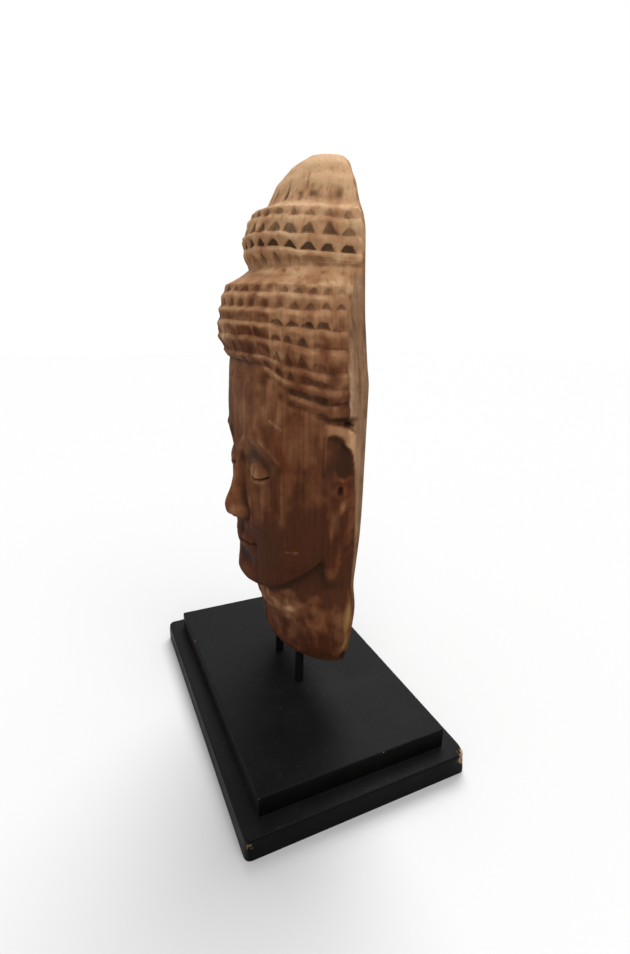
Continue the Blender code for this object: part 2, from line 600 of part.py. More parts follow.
def round_bar(name, radius, low, high, x, y):
    """A round bar standing at x, y from one height to another."""
    shape = bmesh.new()
    bmesh.ops.create_cone(
        shape, cap_ends=True, segments=ROD_SIDES, radius1=radius, radius2=radius, depth=high - low
    )
    mesh = bpy.data.meshes.new(name)
    shape.to_mesh(mesh)
    shape.free()
    mesh.shade_smooth()
    mesh.set_sharp_from_angle(angle=np.radians(40))
    made = bpy.data.objects.new(name, mesh)
    bpy.context.scene.collection.objects.link(made)
    made.location = (x, y, (low + high) / 2)
    return made


def cut(target, cutter):
    made = target.modifiers.new("socket for " + cutter.name, "BOOLEAN")
    made.operation = "DIFFERENCE"
    made.object = cutter


def carved_head(finish):
    """The head as one closed mesh: the carved front, the flat sawn back, the flat foot and the small flat
    tip."""
    table = angle_table()
    below_share, below = below_grid(table)
    hair_share, hair, hair_tops = hair_grid(table)
    knot_share, knot, knot_tops = topknot_grid(table)
    grids = [below, hair, knot]
    starts = np.cumsum([0] + [grid.shape[0] * grid.shape[1] for grid in grids])
    index = [start + np.arange(grid.shape[0] * grid.shape[1]).reshape(grid.shape[:2])
             for start, grid in zip(starts, grids)]
    faces = grid_faces(index[0]) + grid_faces(index[1], hair_tops) + grid_faces(index[2], knot_tops)
    faces += zipped(list(zip(below_share, index[0][-1])), list(zip(hair_share, index[1][0])))
    faces += zipped(list(zip(hair_share, index[1][-1])), list(zip(knot_share, index[2][0])))
    right = np.concatenate([part[:, 0] for part in index])
    left = np.concatenate([part[:, -1] for part in index])
    for i in range(len(left) - 1):
        faces += [(left[i], right[i], right[i + 1]), (left[i], right[i + 1], left[i + 1])]
    points = np.concatenate([grid.reshape(-1, 3) for grid in grids])
    foot, tip = len(points), len(points) + 1
    middles = np.array([(below[0, 0] + below[0, -1]) / 2, (knot[-1, 0] + knot[-1, -1]) / 2])
    middles[0, 1] -= AXIS_FROM_BACK * HEAD_DEPTH
    middles[1, 1] = knot[-1, :, 1].mean()
    points = np.concatenate([points, middles])
    around = list(index[0][0])
    faces += [(b, a, foot) for a, b in zip(around, around[1:] + around[:1])]
    around = list(index[2][-1])
    faces += [(a, b, tip) for a, b in zip(around, around[1:] + around[:1])]
    mesh = bpy.data.meshes.new("carved_head")
    mesh.from_pydata([tuple(p) for p in points.tolist()], [], [tuple(int(v) for v in f) for f in faces])
    mesh.validate()
    mesh.shade_smooth()
    mesh.set_sharp_from_angle(angle=np.radians(28))
    return add("carved_head", mesh, finish)


def main():
    for old in list(bpy.data.objects):
        bpy.data.objects.remove(old)
    black = material("black painted wood", (0.018, 0.018, 0.020), 0.55)
    steel = material("black painted steel", (0.012, 0.012, 0.013), 0.45, 0.6)
    wood = material("weathered brown wood", (0.30, 0.165, 0.085), 0.7)

    lower = board(
        "plinth_lower_board", LOWER_LENGTH, LOWER_DEPTH, LOWER_THICKNESS, LOWER_CORNER_RADIUS, black
    )
    upper = board(
        "plinth_upper_board", LOWER_LENGTH - 2 * BOARD_STEP, LOWER_DEPTH - 2 * BOARD_STEP,
        UPPER_THICKNESS - BOARD_GAP, UPPER_CORNER_RADIUS, black,
    )
    upper.location.z = LOWER_THICKNESS + BOARD_GAP
    head = carved_head(wood)

    low = LOWER_THICKNESS - ROD_IN_LOWER_BOARD
    high = LOWER_THICKNESS + UPPER_THICKNESS + ROD_FREE_LENGTH + ROD_IN_HEAD
    y = BACK_BEHIND - ROD_FROM_BACK
    for side, x in (("left", ROD_SPACING / 2), ("right", -ROD_SPACING / 2)):
        rod = round_bar("rod_" + side, ROD_DIAMETER / 2, low, high, x, y)
        rod.data.materials.append(steel)
        bore = ROD_DIAMETER / 2 + SOCKET_GAP
        socket = round_bar("socket_" + side, bore, low - SOCKET_GAP, high + SOCKET_GAP, x, y)
        socket.hide_render = True
        socket.display_type = "WIRE"
        for piece in (lower, upper, head):
            cut(piece, socket)


main()
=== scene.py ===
"""Looks for the carved wooden head on two black rods over a stepped black plinth.

The head's solid is replaced by a dense mesh on the same form, with its cuts, folds, cracks and wear. The
plinth's boards are replaced by worn ones, and the rods by rounder ones. Metres, in the frame's own axes: the
face looks towards -Y, its left ear is at +X and its flat sawn back faces +Y.
"""
import math

import bmesh
import bpy
import numpy as np
from mathutils import Matrix, Vector


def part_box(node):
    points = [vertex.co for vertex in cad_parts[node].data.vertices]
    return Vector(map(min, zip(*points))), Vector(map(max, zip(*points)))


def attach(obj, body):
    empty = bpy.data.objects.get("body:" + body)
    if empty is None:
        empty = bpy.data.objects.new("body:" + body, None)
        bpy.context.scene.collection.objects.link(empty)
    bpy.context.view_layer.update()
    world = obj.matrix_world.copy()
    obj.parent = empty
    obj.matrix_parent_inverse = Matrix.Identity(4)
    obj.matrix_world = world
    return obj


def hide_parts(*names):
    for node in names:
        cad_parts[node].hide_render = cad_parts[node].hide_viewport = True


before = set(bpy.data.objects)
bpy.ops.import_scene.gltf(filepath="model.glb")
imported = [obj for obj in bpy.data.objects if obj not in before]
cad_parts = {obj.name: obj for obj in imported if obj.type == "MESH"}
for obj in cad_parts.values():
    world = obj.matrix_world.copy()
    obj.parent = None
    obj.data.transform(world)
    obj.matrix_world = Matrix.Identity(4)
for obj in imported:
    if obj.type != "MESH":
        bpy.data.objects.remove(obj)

# The photograph's camera: its place, the way it looks, and its focal length in pixels of the 630 x 954 frame
IMAGE_SIZE = (630, 954)
FOCAL_PIXELS = 523.43
SENSOR_WIDTH = 36
CAMERA_PLACE = (0.41625, -0.17935, 0.38187)
CAMERA_AZIMUTH, CAMERA_PITCH, CAMERA_ROLL = 64.613, 17.694, 1.549

# The head: its place from the frame, and its overall half-round form
HEAD_LOW, HEAD_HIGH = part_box("carved_head")
HEAD_FOOT = HEAD_LOW.z
HEAD_HEIGHT = HEAD_HIGH.z - HEAD_LOW.z
HEAD_BACK = HEAD_HIGH.y
HEAD_WIDTH = 0.168
HEAD_DEPTH = 0.092

# Heights on the head, as shares of its height from the foot of the neck to the tip
CHIN = 0.150
HAIRLINE = 0.632
THIRD = (HAIRLINE - CHIN) / 3
NOSE_BASE = CHIN + THIRD
BROW = HAIRLINE - THIRD
EYE = BROW - 0.30 * THIRD
MOUTH = NOSE_BASE - 0.34 * THIRD
EAR_FOOT = 0.217
EAR_TOP = 0.529
# The ear's front edge (share of height, share of depth from the back), and the upper edges of the ear and
# of its hollow (share of depth from the back, share of height)
EAR_FRONT = ((EAR_FOOT, 0.250), (0.27, 0.298), (0.356, 0.324), (0.44, 0.332), (0.50, 0.337),
             (EAR_TOP, 0.337))
EAR_TOP_EDGE = ((0.06, 0.512), (0.086, 0.518), (0.134, 0.5244), (0.229, 0.532), (0.278, 0.5345),
                (0.336, 0.536))
EAR_HOLLOW_EDGE = ((0.080, 0.440), (0.087, 0.450), (0.118, 0.4826), (0.171, 0.494), (0.212, 0.5118),
                   (0.289, 0.5172), (0.338, 0.515))

# Half-widths on the face, as shares of the head's half-width, and small heights on it. The lid's slit fades
# out between these shares of the eye's half-width.
EYE_HALF = 0.186
EYE_OUT = 0.37
LID_SLIT = 0.0040
SLIT_ENDS = (1.16, 0.90)
NOSE_HALF = 0.180
MOUTH_HALF = 0.285
UPPER_LIP = 0.019
LOWER_LIP = 0.024
# The nose from its bridge down to its base, 0 to 1: how far it stands out, and its half-width
NOSE_RISE = 0.165
NOSE_PROFILE = ((0, 0.02), (0.2, 0.22), (0.55, 0.60), (0.84, 1.0), (0.94, 0.93), (1.0, 0.42), (1.06, 0))
NOSE_WIDTHS = ((0, 0.42), (0.35, 0.52), (0.7, 0.74), (0.88, 0.95), (1, 0.9))
BROW_ARCH = ((0.04, -0.22), (0.13, 0.0), (0.26, 0.11), (0.40, 0.135), (0.56, 0.05), (0.72, -0.16))
# Domes and dents: (place across, share of height, half-width, half-height, rise as a share of the head's
# depth, power: the lower it is, the steeper are the walls). On the face they are the wing of the nose, the
# nostril, the cheek, the groove above the lips and the chin, and across is a share of the head's
# half-width. On the ear they are its deep hollow, the hole, the notch in front, two bumps and the lobe, and
# across is forward of the back.
FACE_DOMES = (
    (0.70 * NOSE_HALF, NOSE_BASE + 0.10 * THIRD, 0.46 * NOSE_HALF, 0.16 * THIRD, 0.052, 1),
    (0.42 * NOSE_HALF, NOSE_BASE, 0.26 * NOSE_HALF, 0.05 * THIRD, -0.055, 1),
    (0.52, NOSE_BASE + 0.045, 0.34, 0.10, 0.016, 1),
    (0.0, NOSE_BASE - 0.024, 0.045, 0.024, -0.012, 1),
    (0.0, CHIN + 0.036, 0.30, 0.038, 0.036, 1),
)
DEEP_HOLLOW = (0.182, 0.463)
EAR_DOMES = (
    (*DEEP_HOLLOW, 0.082, 0.033, -0.105, 0.6),
    (0.214, 0.41, 0.03, 0.0125, -0.08, 1),
    (0.363, 0.4398, 0.02, 0.012, -0.04, 1),
    (0.203, 0.433, 0.035, 0.011, 0.02, 1),
    (0.19, 0.378, 0.05, 0.022, 0.018, 1),
    (0.215, 0.305, 0.07, 0.075, -0.026, 0.7),
)
# The fold across the neck and the roll under it: (height above the fold, width, rise)
NECK_ROLLS = ((0.004, 0.006, -0.009), (-0.005, 0.007, 0.008))

# The grid of curls: where its rows part at the front and beside the ear, from the crown down, and how far a
# parting has gone from the one to the other at a share of the way round
ROWS_AT_FRONT = (0.776, 0.7585, 0.733, 0.7085, 0.684, 0.653, HAIRLINE, 0.610, 0.588)
ROWS_AT_SIDE = (0.774, 0.754, 0.729, 0.697, 0.665, 0.626, 0.597, 0.570, 0.541)
ROWS_FAN = ((0.34, 0.0), (0.405, 0.07), (0.425, 0.24), (0.60, 0.66), (0.80, 1.0))
# Row by row: its first column of curls, the column from which it is one long bar, and how proud it stands. A
# row covers this part of a curl in front of its first column too.
ROW_STARTS = (0, 0, 0, 0, 0, 0, 4, 6)
ROW_MARGIN = 0.4
NEVER = 99
BAR_STARTS = (NEVER, NEVER, 8.6, 7.6, 8.6, 7, 6, 6)
ROW_RISES = (0.9, 0.95, 1.0, 1.0, 1.0, 0.9, 0.9, 0.8)
# Columns of curls on each side of the middle, how many would go half the way round, and how proud they
# stand as a share of the head's depth
CURL_COLUMNS = 9
CURLS_PER_HALF = 10.8
CURL_RISE = 0.037
# How much curls cover a place where hair starts, and where it is all hair
HAIR_EDGE = (0.0, 0.5)
# The curls are worn down towards the plank's side: the columns where that starts and ends, and what is left
SIDE_FADE = (7.5, 9.5)
SIDE_LEFT = 0.5
# The topknot's own grid, whose middle runs through a curl and not through a notch, and is shifted a little
# to the figure's right, by this share of the way round
TOPKNOT_AT_FRONT = (0.905, 0.889, 0.860, 0.837, 0.810)
TOPKNOT_AT_SIDE = (0.898, 0.876, 0.8475, 0.8205, 0.8045)
TOPKNOT_FAN = ((0.05, 0.0), (0.30, 0.20), (0.65, 0.80), (0.90, 1.0))
TOPKNOT_RISES = (0.95, 1.0, 1.0, 0.95)
TOPKNOT_COLUMNS = 7
TOPKNOT_PER_HALF = 7.27
TOPKNOT_SHIFT = -0.018
TOPKNOT_CURL_RISE = 0.038
# A row is proudest along the ledge near its top, at this share of its height, and leans back to its foot.
# Shares of its rise: along the ledge over a notch, all along a bar's ledge, and at the foot in a notch and
# between notches, which differs in the topknot's lowest row.
LEDGE_FROM_TOP = 0.24
LEDGE_OVER_NOTCH = 0.62
BAR_LEDGE = 0.85
PLAIN_FEET = (0.0, 0.42)
LOWEST_FEET = (0.35, 0.80)
# The hand-cut grid's unevenness: how far its corners stray, as a share of a row's height and of a curl's
# width, and how much the rises differ
CUT_DRIFT = 0.14
RISE_SPREAD = 0.30
CURL_SEED = 11
# How far each row's curls drift towards the face, in curls, and where round the head the drift starts and
# ends
ROW_DRIFTS = (0.0, 0.0, -0.10, -0.45, -0.48, -0.28, -0.15, -0.30)
DRIFT_STARTS = (0.42, 0.58)
DRIFT_ENDS = (0.86, 0.76)
# The share of the way round from which the topknot's lowest row is a bar
LOW_BAR_START = 0.42
# The notch under each curl, cut in and darkened with painted shade: how strong and how wide it is in each
# row, and the chisel's deepest cut in metres
ROW_NOTCHES = ((0.44, 0.76), (0.50, 0.74), (0.72, 0.84), (0.58, 0.80), (0.48, 0.80), (0.60, 0.84),
               (0.82, 0.90), (0.84, 0.95))
TOPKNOT_NOTCHES = ((0.48, 0.70), (0.68, 0.82), (0.94, 0.76), (0.50, 0.62))
NOTCH_CUT = 0.0014
# Where towards the back the notches start to fade and are gone, and how far down a row's face they start
ROW_ENDS = (0.855, 0.885)
TOPKNOT_ENDS = (0.95, 0.99)
ROW_CUT_SHADE_TOPS = (0.34, 0.36, 0.42, 0.42, 0.40, 0.34, 0.36, 0.36)
TOPKNOT_CUT_SHADE_TOPS = (0.30, 0.18, 0.36, 0.30)
# In front of the seam, at this share of the way round, some rows have broad facets darkened with painted
# shade instead: how much of the notches is left there, how dark the facets' painted shade is, and where
# round the head the paler slits between them stand
SEAM = 0.415
NO_FACETS = (1.0, 0.0)
ROW_FRONTS = (NO_FACETS, NO_FACETS, (0.04, 1.0), (0.12, 0.9), (0.16, 0.9), (0.75, 0.3), NO_FACETS, NO_FACETS)
# Two places that no point round the head comes near
NO_SLITS = (9.0, 9.0)
ROW_SLITS = (NO_SLITS,) * 3 + ((0.175, 0.31), (0.095, 0.325), (0.14, 0.26)) + (NO_SLITS,) * 2
TOPKNOT_FRONTS = (NO_FACETS,) * len(TOPKNOT_RISES)
TOPKNOT_SLITS = (NO_SLITS,) * len(TOPKNOT_RISES)
# How far down a row's face the painted shade in a long bar's groove starts, and where round the head it gets
# thinner
ROW_GROOVES = (0.8, 0.8, 0.80, 0.78, 0.72, 0.46, 0.42, 0.42)
TOPKNOT_GROOVES = (0.8, 0.8, 0.8, 0.34)
GROOVE_THINS = (0.72, 0.80)
# How much of a curl's point is left where it is worn flat: the least, and the spread above it. What stands
# above that keeps this share.
POINT_LEFT = (0.66, 0.50)
ABOVE_WEAR = 0.25

# Worn notches above the topknot's curls: shares of the way round, share of height, and sizes as shares of
# the way round, of the head's height and of its depth
NOTCHES = (-0.78, -0.55, -0.30, 0.02, 0.24, 0.45, 0.62, 0.82)
NOTCH_HEIGHT = 0.920
NOTCH_HALF_WIDTH = 0.05
NOTCH_HALF_HEIGHT = 0.020
NOTCH_DEPTH = 0.009

# Half-width of the plank, seen from the front: (share of height, share of half-width)
OUTLINE = ((0.0, 0.78), (0.022, 0.82), (0.045, 0.875), (0.10, 0.93), (0.155, 0.965), (0.205, 0.92),
           (0.25, 0.945), (0.33, 0.99), (0.40, 1.0), (0.60, 1.0), (0.64, 0.955), (0.68, 0.915),
           (0.725, 0.872), (0.80, 0.833), (0.86, 0.805), (0.885, 0.76), (0.908, 0.68), (0.942, 0.595),
           (0.956, 0.536), (0.971, 0.488), (0.988, 0.357), (0.996, 0.24), (1.0, 0.12))
# Depths from the flat back, as shares of the head's depth
NECK_DEPTH = ((0.0, 0.465), (0.02, 0.50), (0.06, 0.52), (0.085, 0.545), (0.105, 0.575), (0.13, 0.59),
              (0.16, 0.595), (0.30, 0.60))
FACE_DEPTH = ((0.10, 0.55), (CHIN, 0.68), (0.163, 0.745), (0.185, 0.775), (0.222, 0.755), (0.26, 0.77),
              (0.31, 0.78), (0.37, 0.785), (0.43, 0.79), (BROW, 0.82), (0.54, 0.83), (0.60, 0.82),
              (0.65, 0.80))
HAIR_DEPTH = ((0.50, 0.785), (0.60, 0.80), (0.63, 0.815), (0.64, 0.837), (0.662, 0.877), (0.69, 0.912),
              (0.72, 0.897), (0.745, 0.877), (0.771, 0.826), (0.778, 0.795), (0.785, 0.738), (0.792, 0.69),
              (0.80, 0.64))
TOPKNOT_DEPTH = ((0.79, 0.58), (0.805, 0.61), (0.83, 0.668), (0.855, 0.673), (0.875, 0.633), (0.889, 0.61),
                 (0.896, 0.597), (0.903, 0.55), (0.911, 0.492), (0.932, 0.44), (0.947, 0.41), (0.961, 0.357),
                 (0.973, 0.315), (0.983, 0.266), (0.990, 0.215), (0.996, 0.17), (1.0, 0.135))
# Half-width of the face's oval: (share of height, share of the head's half-width)
FACE_WIDTH = ((0.10, 0.10), (CHIN, 0.30), (0.160, 0.50), (0.180, 0.66), (0.21, 0.78), (0.26, 0.885),
              (0.33, 0.94), (0.42, 0.955), (0.52, 0.955), (0.60, 0.93), (0.66, 0.91))
# The lower edge of the jaw, and a fold across the neck: (share of the way round, share of height)
JAW = ((0.0, CHIN), (0.14, 0.152), (0.30, 0.162), (0.45, 0.182), (0.60, 0.212), (0.72, 0.242), (0.80, 0.265),
       (1.0, 0.275))
NECK_FOLD = ((0.0, 0.105), (0.29, 0.112), (0.48, 0.124), (0.60, 0.145), (0.71, 0.172), (0.80, 0.19),
             (1.0, 0.20))
# How far the plank's straight side runs forward from the back, as a share of the head's depth; the heights
# where it starts to die out and is gone; what is left there and on the topknot, in metres; and the same as
# the first on the face's oval
SIDE_STRIP = 0.185
SIDE_STRIP_ENDS = (0.765, 0.80)
LEAST_STRIP = 0.0005
TOPKNOT_STRIP = 0.0004
FACE_STRIP = 0.24
# The smooth envelope that columns are spaced along: where the topknot takes over, and its depth below that
TOPKNOT_FOOT = 0.785
GUIDE_DEPTH = ((0.0, 0.80), (0.72, 0.80), (TOPKNOT_FOOT, 0.58))
# The axis that distances are measured from, as a share of the depth from the back, the powers of the plans
# that close round it, and how often reach halves its guess
AXIS_FROM_BACK = 0.087
PLANK_POWER = 2.0
FACE_POWER = 2.2
NECK_POWER = 1.9
HALVINGS = 32
# How the face's columns are spaced: (share of the columns, share of the way round)
FACE_COLUMNS = ((0.0, 0.0), (0.34, 0.28), (0.66, 0.66), (0.96, 0.955), (1.0, 1.0))

# How finely the dense head is divided
FACE_COLUMNS_PER_HALF = 108
ROW_STEP = 0.0014
CURL_STEPS = 6
FACE_STEPS, LEDGE_STEPS = 8, 4
STRIP_COLUMNS = 3
BACK_COLUMNS = 26
END_RINGS = 9
# Heights that rows of the mesh follow on the shelf and on the tip
SHELF_ROWS = (0.786, 0.794, 0.800)
TIP_ROWS = (0.912, 0.928, 0.945, 0.972, 0.985, 0.994, 1.0)

# Tool marks: the sizes of a gouge's facets and of the broad and the fine unevenness, and the depth of the
# first two, in metres. Then how deep the corners and the foot are worn.
FACETS, FACET_DEPTH = (0.009, 0.009, 0.022), 0.0016
BROAD, BROAD_DEPTH = (0.018, 0.018, 0.034), 0.0007
FINE = (0.0032, 0.0032, 0.014)
CORNER_WEAR = 0.0018
# The cut foot and tip: how deep they are chopped in metres, and their tone and dirt
FOOT_CUT = (0.0022, 0.80, 0.35)
TIP_CUT = (0.0006, 0.05, 0.1)
# The saw marks of the back, and the length in metres of half the way round the head, at the cracks and at
# the scratches
SAW_PITCH = 0.0135
CRACK_ROUND = 0.150
SCRATCH_ROUND = 0.130

# Long drying cracks: (share round, lowest and highest share of height, depth and half-width in metres)
CRACKS = ((0.972, 0.17, 0.3, 0.0014, 0.0009), (0.945, 0.56, 0.75, 0.0012, 0.0009),
          (0.935, 0.205, 0.29, 0.001, 0.0008), (-0.93, 0.16, 0.38, 0.0018, 0.0011),
          (-0.7, 0.3, 0.47, 0.0009, 0.0009), (-0.33, 0.925, 0.99, 0.0014, 0.001),
          (0.8, 0.935, 0.985, 0.0006, 0.0009), (-0.42, 0.02, 0.13, 0.0013, 0.001),
          (-0.945, 0.6, 0.8, 0.0013, 0.001))
# Chisel nicks: (share round, share of height, half-width, half-height, depth in metres, how dark)
NICKS = ((0.225, 0.93, 0.036, 0.024, 0.0012, 0.22), (0.245, 0.9205, 0.024, 0.008, 0.001, 0.5),
         (0.16, 0.932, 0.05, 0.014, 0.0008, 0.16), (0.492, 0.941, 0.014, 0.02, 0.0012, 0.48),
         (0.43, 0.921, 0.024, 0.004, 0.0006, 0.16), (0.565, 0.918, 0.06, 0.007, 0.0007, 0.17),
         (0.735, 0.922, 0.01, 0.018, 0.0006, 0.2), (0.815, 0.923, 0.07, 0.018, 0.0008, 0.12),
         (-0.1, 0.93, 0.02, 0.02, 0.0014, 0.4), (-0.42, 0.928, 0.03, 0.016, 0.0016, 0.5),
         (-0.72, 0.92, 0.05, 0.009, 0.0016, 0.5), (0.02, 0.925, 0.022, 0.012, 0.0014, 0.5),
         (0.385, 0.7935, 0.03, 0.004, 0.0009, 0.3), (0.495, 0.794, 0.026, 0.004, 0.0009, 0.28),
         (0.7, 0.79, 0.04, 0.0045, 0.001, 0.35), (0.83, 0.7885, 0.034, 0.004, 0.0009, 0.3),
         (-0.3, 0.793, 0.035, 0.004, 0.001, 0.35), (-0.52, 0.791, 0.03, 0.004, 0.0009, 0.35),
         (0.06, 0.794, 0.03, 0.0035, 0.0008, 0.3), (0.9, 0.69, 0.016, 0.01, 0.0012, 0.6),
         (0.865, 0.668, 0.012, 0.012, 0.0008, 0.4), (-0.88, 0.71, 0.02, 0.012, 0.0014, 0.6))
# Patches of paler or darker tone, some the wood's own and some painted light that lifts the shade under
# the jaw and at the topknot's foot: (share round, share of height, half-width, half-height, change of tone)
PATCHES = (
    (0.478, 0.385, 0.014, 0.09, -0.24), (0.32, 0.375, 0.035, 0.065, -0.22), (0.6, 0.35, 0.13, 0.13, 0.24),
    (0.55, 0.225, 0.25, 0.05, 0.14), (0.2, 0.535, 0.3, 0.05, -0.12), (0.42, 0.47, 0.1, 0.03, -0.1),
    (0.25, 0.45, 0.2, 0.1, -0.14), (0.33, 0.545, 0.12, 0.03, -0.12), (0.66, 0.52, 0.08, 0.04, 0.16),
    (0.78, 0.41, 0.06, 0.06, 0.22), (0.77, 0.655, 0.07, 0.05, 0.16), (0.34, 0.745, 0.08, 0.03, 0.12),
    (0.31, 0.69, 0.05, 0.04, 0.1), (0.05, 0.69, 0.13, 0.05, -0.14), (0.8, 0.777, 0.08, 0.018, -0.22),
    (0.36, 0.776, 0.1, 0.015, 0.1), (0.3, 0.124, 0.12, 0.014, -0.42), (0.48, 0.124, 0.1, 0.013, -0.36),
    (0.58, 0.145, 0.05, 0.016, -0.2), (0.16, 0.14, 0.06, 0.022, -0.3), (0.0, 0.11, 0.12, 0.05, -0.15),
    (0.6, 0.11, 0.14, 0.022, 0.1), (0.4, 0.08, 0.14, 0.022, 0.12), (0.84, 0.06, 0.035, 0.022, 0.34),
    (0.6, 0.045, 0.16, 0.03, 0.1), (0.862, 0.378, 0.045, 0.022, -0.15), (0.851, 0.434, 0.02, 0.012, -0.12),
    (0.865, 0.27, 0.03, 0.05, -0.22), (0.9, 0.33, 0.018, 0.06, 0.12), (0.745, 0.262, 0.06, 0.05, 0.25),
    (-0.45, 0.4, 0.05, 0.1, -0.22), (-0.62, 0.3, 0.1, 0.1, 0.12), (-0.3, 0.115, 0.16, 0.022, -0.12),
    (-0.8, 0.1, 0.1, 0.04, 0.15), (0.0, 0.4, 0.05, 0.05, -0.1), (0.24, 0.38, 0.12, 0.08, -0.16),
    (0.0, 0.685, 0.15, 0.04, -0.26), (0.25, 0.793, 0.16, 0.01, -0.24), (0.885, 0.768, 0.045, 0.02, -0.34),
    (0.45, 0.648, 0.05, 0.016, -0.18), (0.47, 0.55, 0.05, 0.025, -0.2), (0.82, 0.556, 0.09, 0.014, -0.26),
    (0.475, 0.515, 0.05, 0.04, -0.16), (0.845, 0.5, 0.03, 0.018, -0.18), (0.45, 0.163, 0.16, 0.014, -0.3),
    (0.72, 0.168, 0.12, 0.016, -0.24), (0.4, 0.768, 0.08, 0.014, 0.26), (0.39, 0.743, 0.07, 0.02, 0.24),
    (0.55, 0.716, 0.04, 0.014, 0.2), (0.38, 0.68, 0.05, 0.028, 0.24), (0.73, 0.664, 0.08, 0.026, 0.28),
    (0.79, 0.626, 0.07, 0.026, 0.3), (0.34, 0.607, 0.07, 0.018, 0.24), (0.895, 0.58, 0.03, 0.03, 0.24),
    (0.27, 0.495, 0.04, 0.02, 0.18), (0.69, 0.5, 0.04, 0.028, 0.22), (0.7, 0.34, 0.12, 0.07, 0.34),
    (0.82, 0.385, 0.06, 0.03, 0.22), (0.0, 0.77, 0.1, 0.016, 0.2), (0.53, 0.768, 0.05, 0.014, 0.24),
    (0.46, 0.742, 0.04, 0.016, 0.22), (0.39, 0.664, 0.04, 0.014, 0.16), (0.47, 0.583, 0.035, 0.012, 0.24),
    (0.885, 0.35, 0.03, 0.05, 0.2), (0.17, 0.1, 0.07, 0.02, -0.18), (0.7, 0.122, 0.05, 0.02, 0.22),
    (0.5, 0.092, 0.06, 0.014, 0.2),
)
# Small bare marks: (share round, share of height at one end, the same at the other, half-width in metres)
SCRATCHES = ((0.395, 0.5345, 0.478, 0.5225, 0.001), (0.505, 0.2765, 0.59, 0.28, 0.001),
             (-0.3, 0.47, -0.36, 0.462, 0.001))
# How far forward the bare, paler wood of the plank's side runs, as (share of height, share of depth)
BARE_SIDE = ((0.12, 0.0), (0.2, 0.012), (0.27, 0.028), (0.306, 0.034), (0.349, 0.05), (0.39, 0.063),
             (0.43, 0.073), (0.469, 0.082), (0.507, 0.09), (0.52, 0.095), (0.533, 0.15), (0.56, 0.16),
             (0.615, 0.17), (0.665, 0.152), (0.714, 0.136), (0.747, 0.118), (0.78, 0.1), (0.8, 0.03))

# How dark the head is by height, as (share of height, tone): 0 is pale worn wood and 1 the darkest brown.
# Partly the wood's own tone and partly painted light from above, paler towards the tip and darker towards
# the foot
TONES = ((0.0, 1.0), (0.06, 0.92), (0.13, 0.8), (0.17, 1.08), (0.22, 1.06), (0.4, 0.84), (0.5, 0.84),
         (0.57, 0.76), (0.62, 0.66), (0.66, 0.55), (0.7, 0.47), (0.74, 0.41), (0.772, 0.36), (0.78, 0.3),
         (0.797, 0.17), (0.808, 0.22), (0.85, 0.24), (0.888, 0.22), (0.91, 0.2), (0.945, 0.06), (1.0, 0.04))

# The boards
LOWER_CORNER_RADIUS = 0.005
UPPER_CORNER_RADIUS = 0.0015
LEAST_CORNER = 0.0006
EDGE_ROUND = 0.0015
EDGE_STEPS = 5
SIDE_STEP = 0.0016
BOARD_STEP = 0.0022
CORNER_STEPS = 7
# How far in from the edge the rings of the top stand. The wear ends at the last.
TOP_INSETS = (0.0022, 0.0032, 0.0045, 0.0062, 0.0085, 0.012)
SOCKET_GAP = 0.0003
# How far from the edge wear reaches, down the side and in on the top; the size of its nicks and of its
# rubbed places along the edge; and how deep a nick is
WEAR_DOWN, WEAR_IN = 0.0035, 0.003
NICK_SIZE, RUB_SIZE = 0.0075, 0.021
NICK_DEPTH = 0.0007
# Chips in the boards: (x and y on the board as shares of its half-length and half-depth, height share,
# radius and depth in metres, how much bare wood shows)
CHIPS = {
    "plinth_lower_board": (
        (1.0, 1.0, 0.8, 0.013, 0.002, 0.9),
        (1.0, -0.99, 0.62, 0.013, 0.0008, 0.44),
        (-1.0, -1.0, 0.9, 0.008, 0.0012, 0.6),
        (-1.0, 1.0, 0.9, 0.01, 0.0016, 0.75),
    ),
    "plinth_upper_board": (
        (1.0, -1.0, 1.0, 0.004, 0.0008, 0.5),
        (-1.0, 1.0, 1.0, 0.005, 0.001, 0.7),
        (1.0, 0.28, 1.0, 0.003, 0.0005, 0.41),
        (1.0, 0.22, 1.0, 0.0026, 0.0004, 0.42),
        (1.0, -0.31, 1.0, 0.0026, 0.0004, 0.42),
        (0.55, -1.0, 1.0, 0.0026, 0.0005, 0.5),
        (0.12, -1.0, 1.0, 0.0032, 0.0005, 0.56),
        (-0.12, -1.0, 1.0, 0.0026, 0.0004, 0.5),
        (-0.56, -1.0, 1.0, 0.0034, 0.0005, 0.56),
        (-0.5, 1.0, 1.0, 0.0045, 0.0008, 0.6),
    ),
}
# The rods, and the sides of the holes for them
ROD_SIDES = 40
ROD_EASE = 0.0004
# Edges sharper than this, in degrees, are drawn sharp
HEAD_SHARP, BOARD_SHARP, ROD_SHARP = 34, 35, 40

# The light: an even surround, and soft distant lights (name, azimuth, elevation and width in degrees,
# strength)
AMBIENT = 0.47
LIGHTS = (
    ("key light from above and behind", 236, 56, 36, 2.35),
    ("fill light", 86, 50, 60, 1.36),
)
FLOOR_HALF_SIZE = 4.0
FLOOR_DROP = 0.0003

# The layers that the wood's material reads
LAYERS = ("tone", "dirt_and_shade", "rubbed_and_highlight", "grey", "fresh")

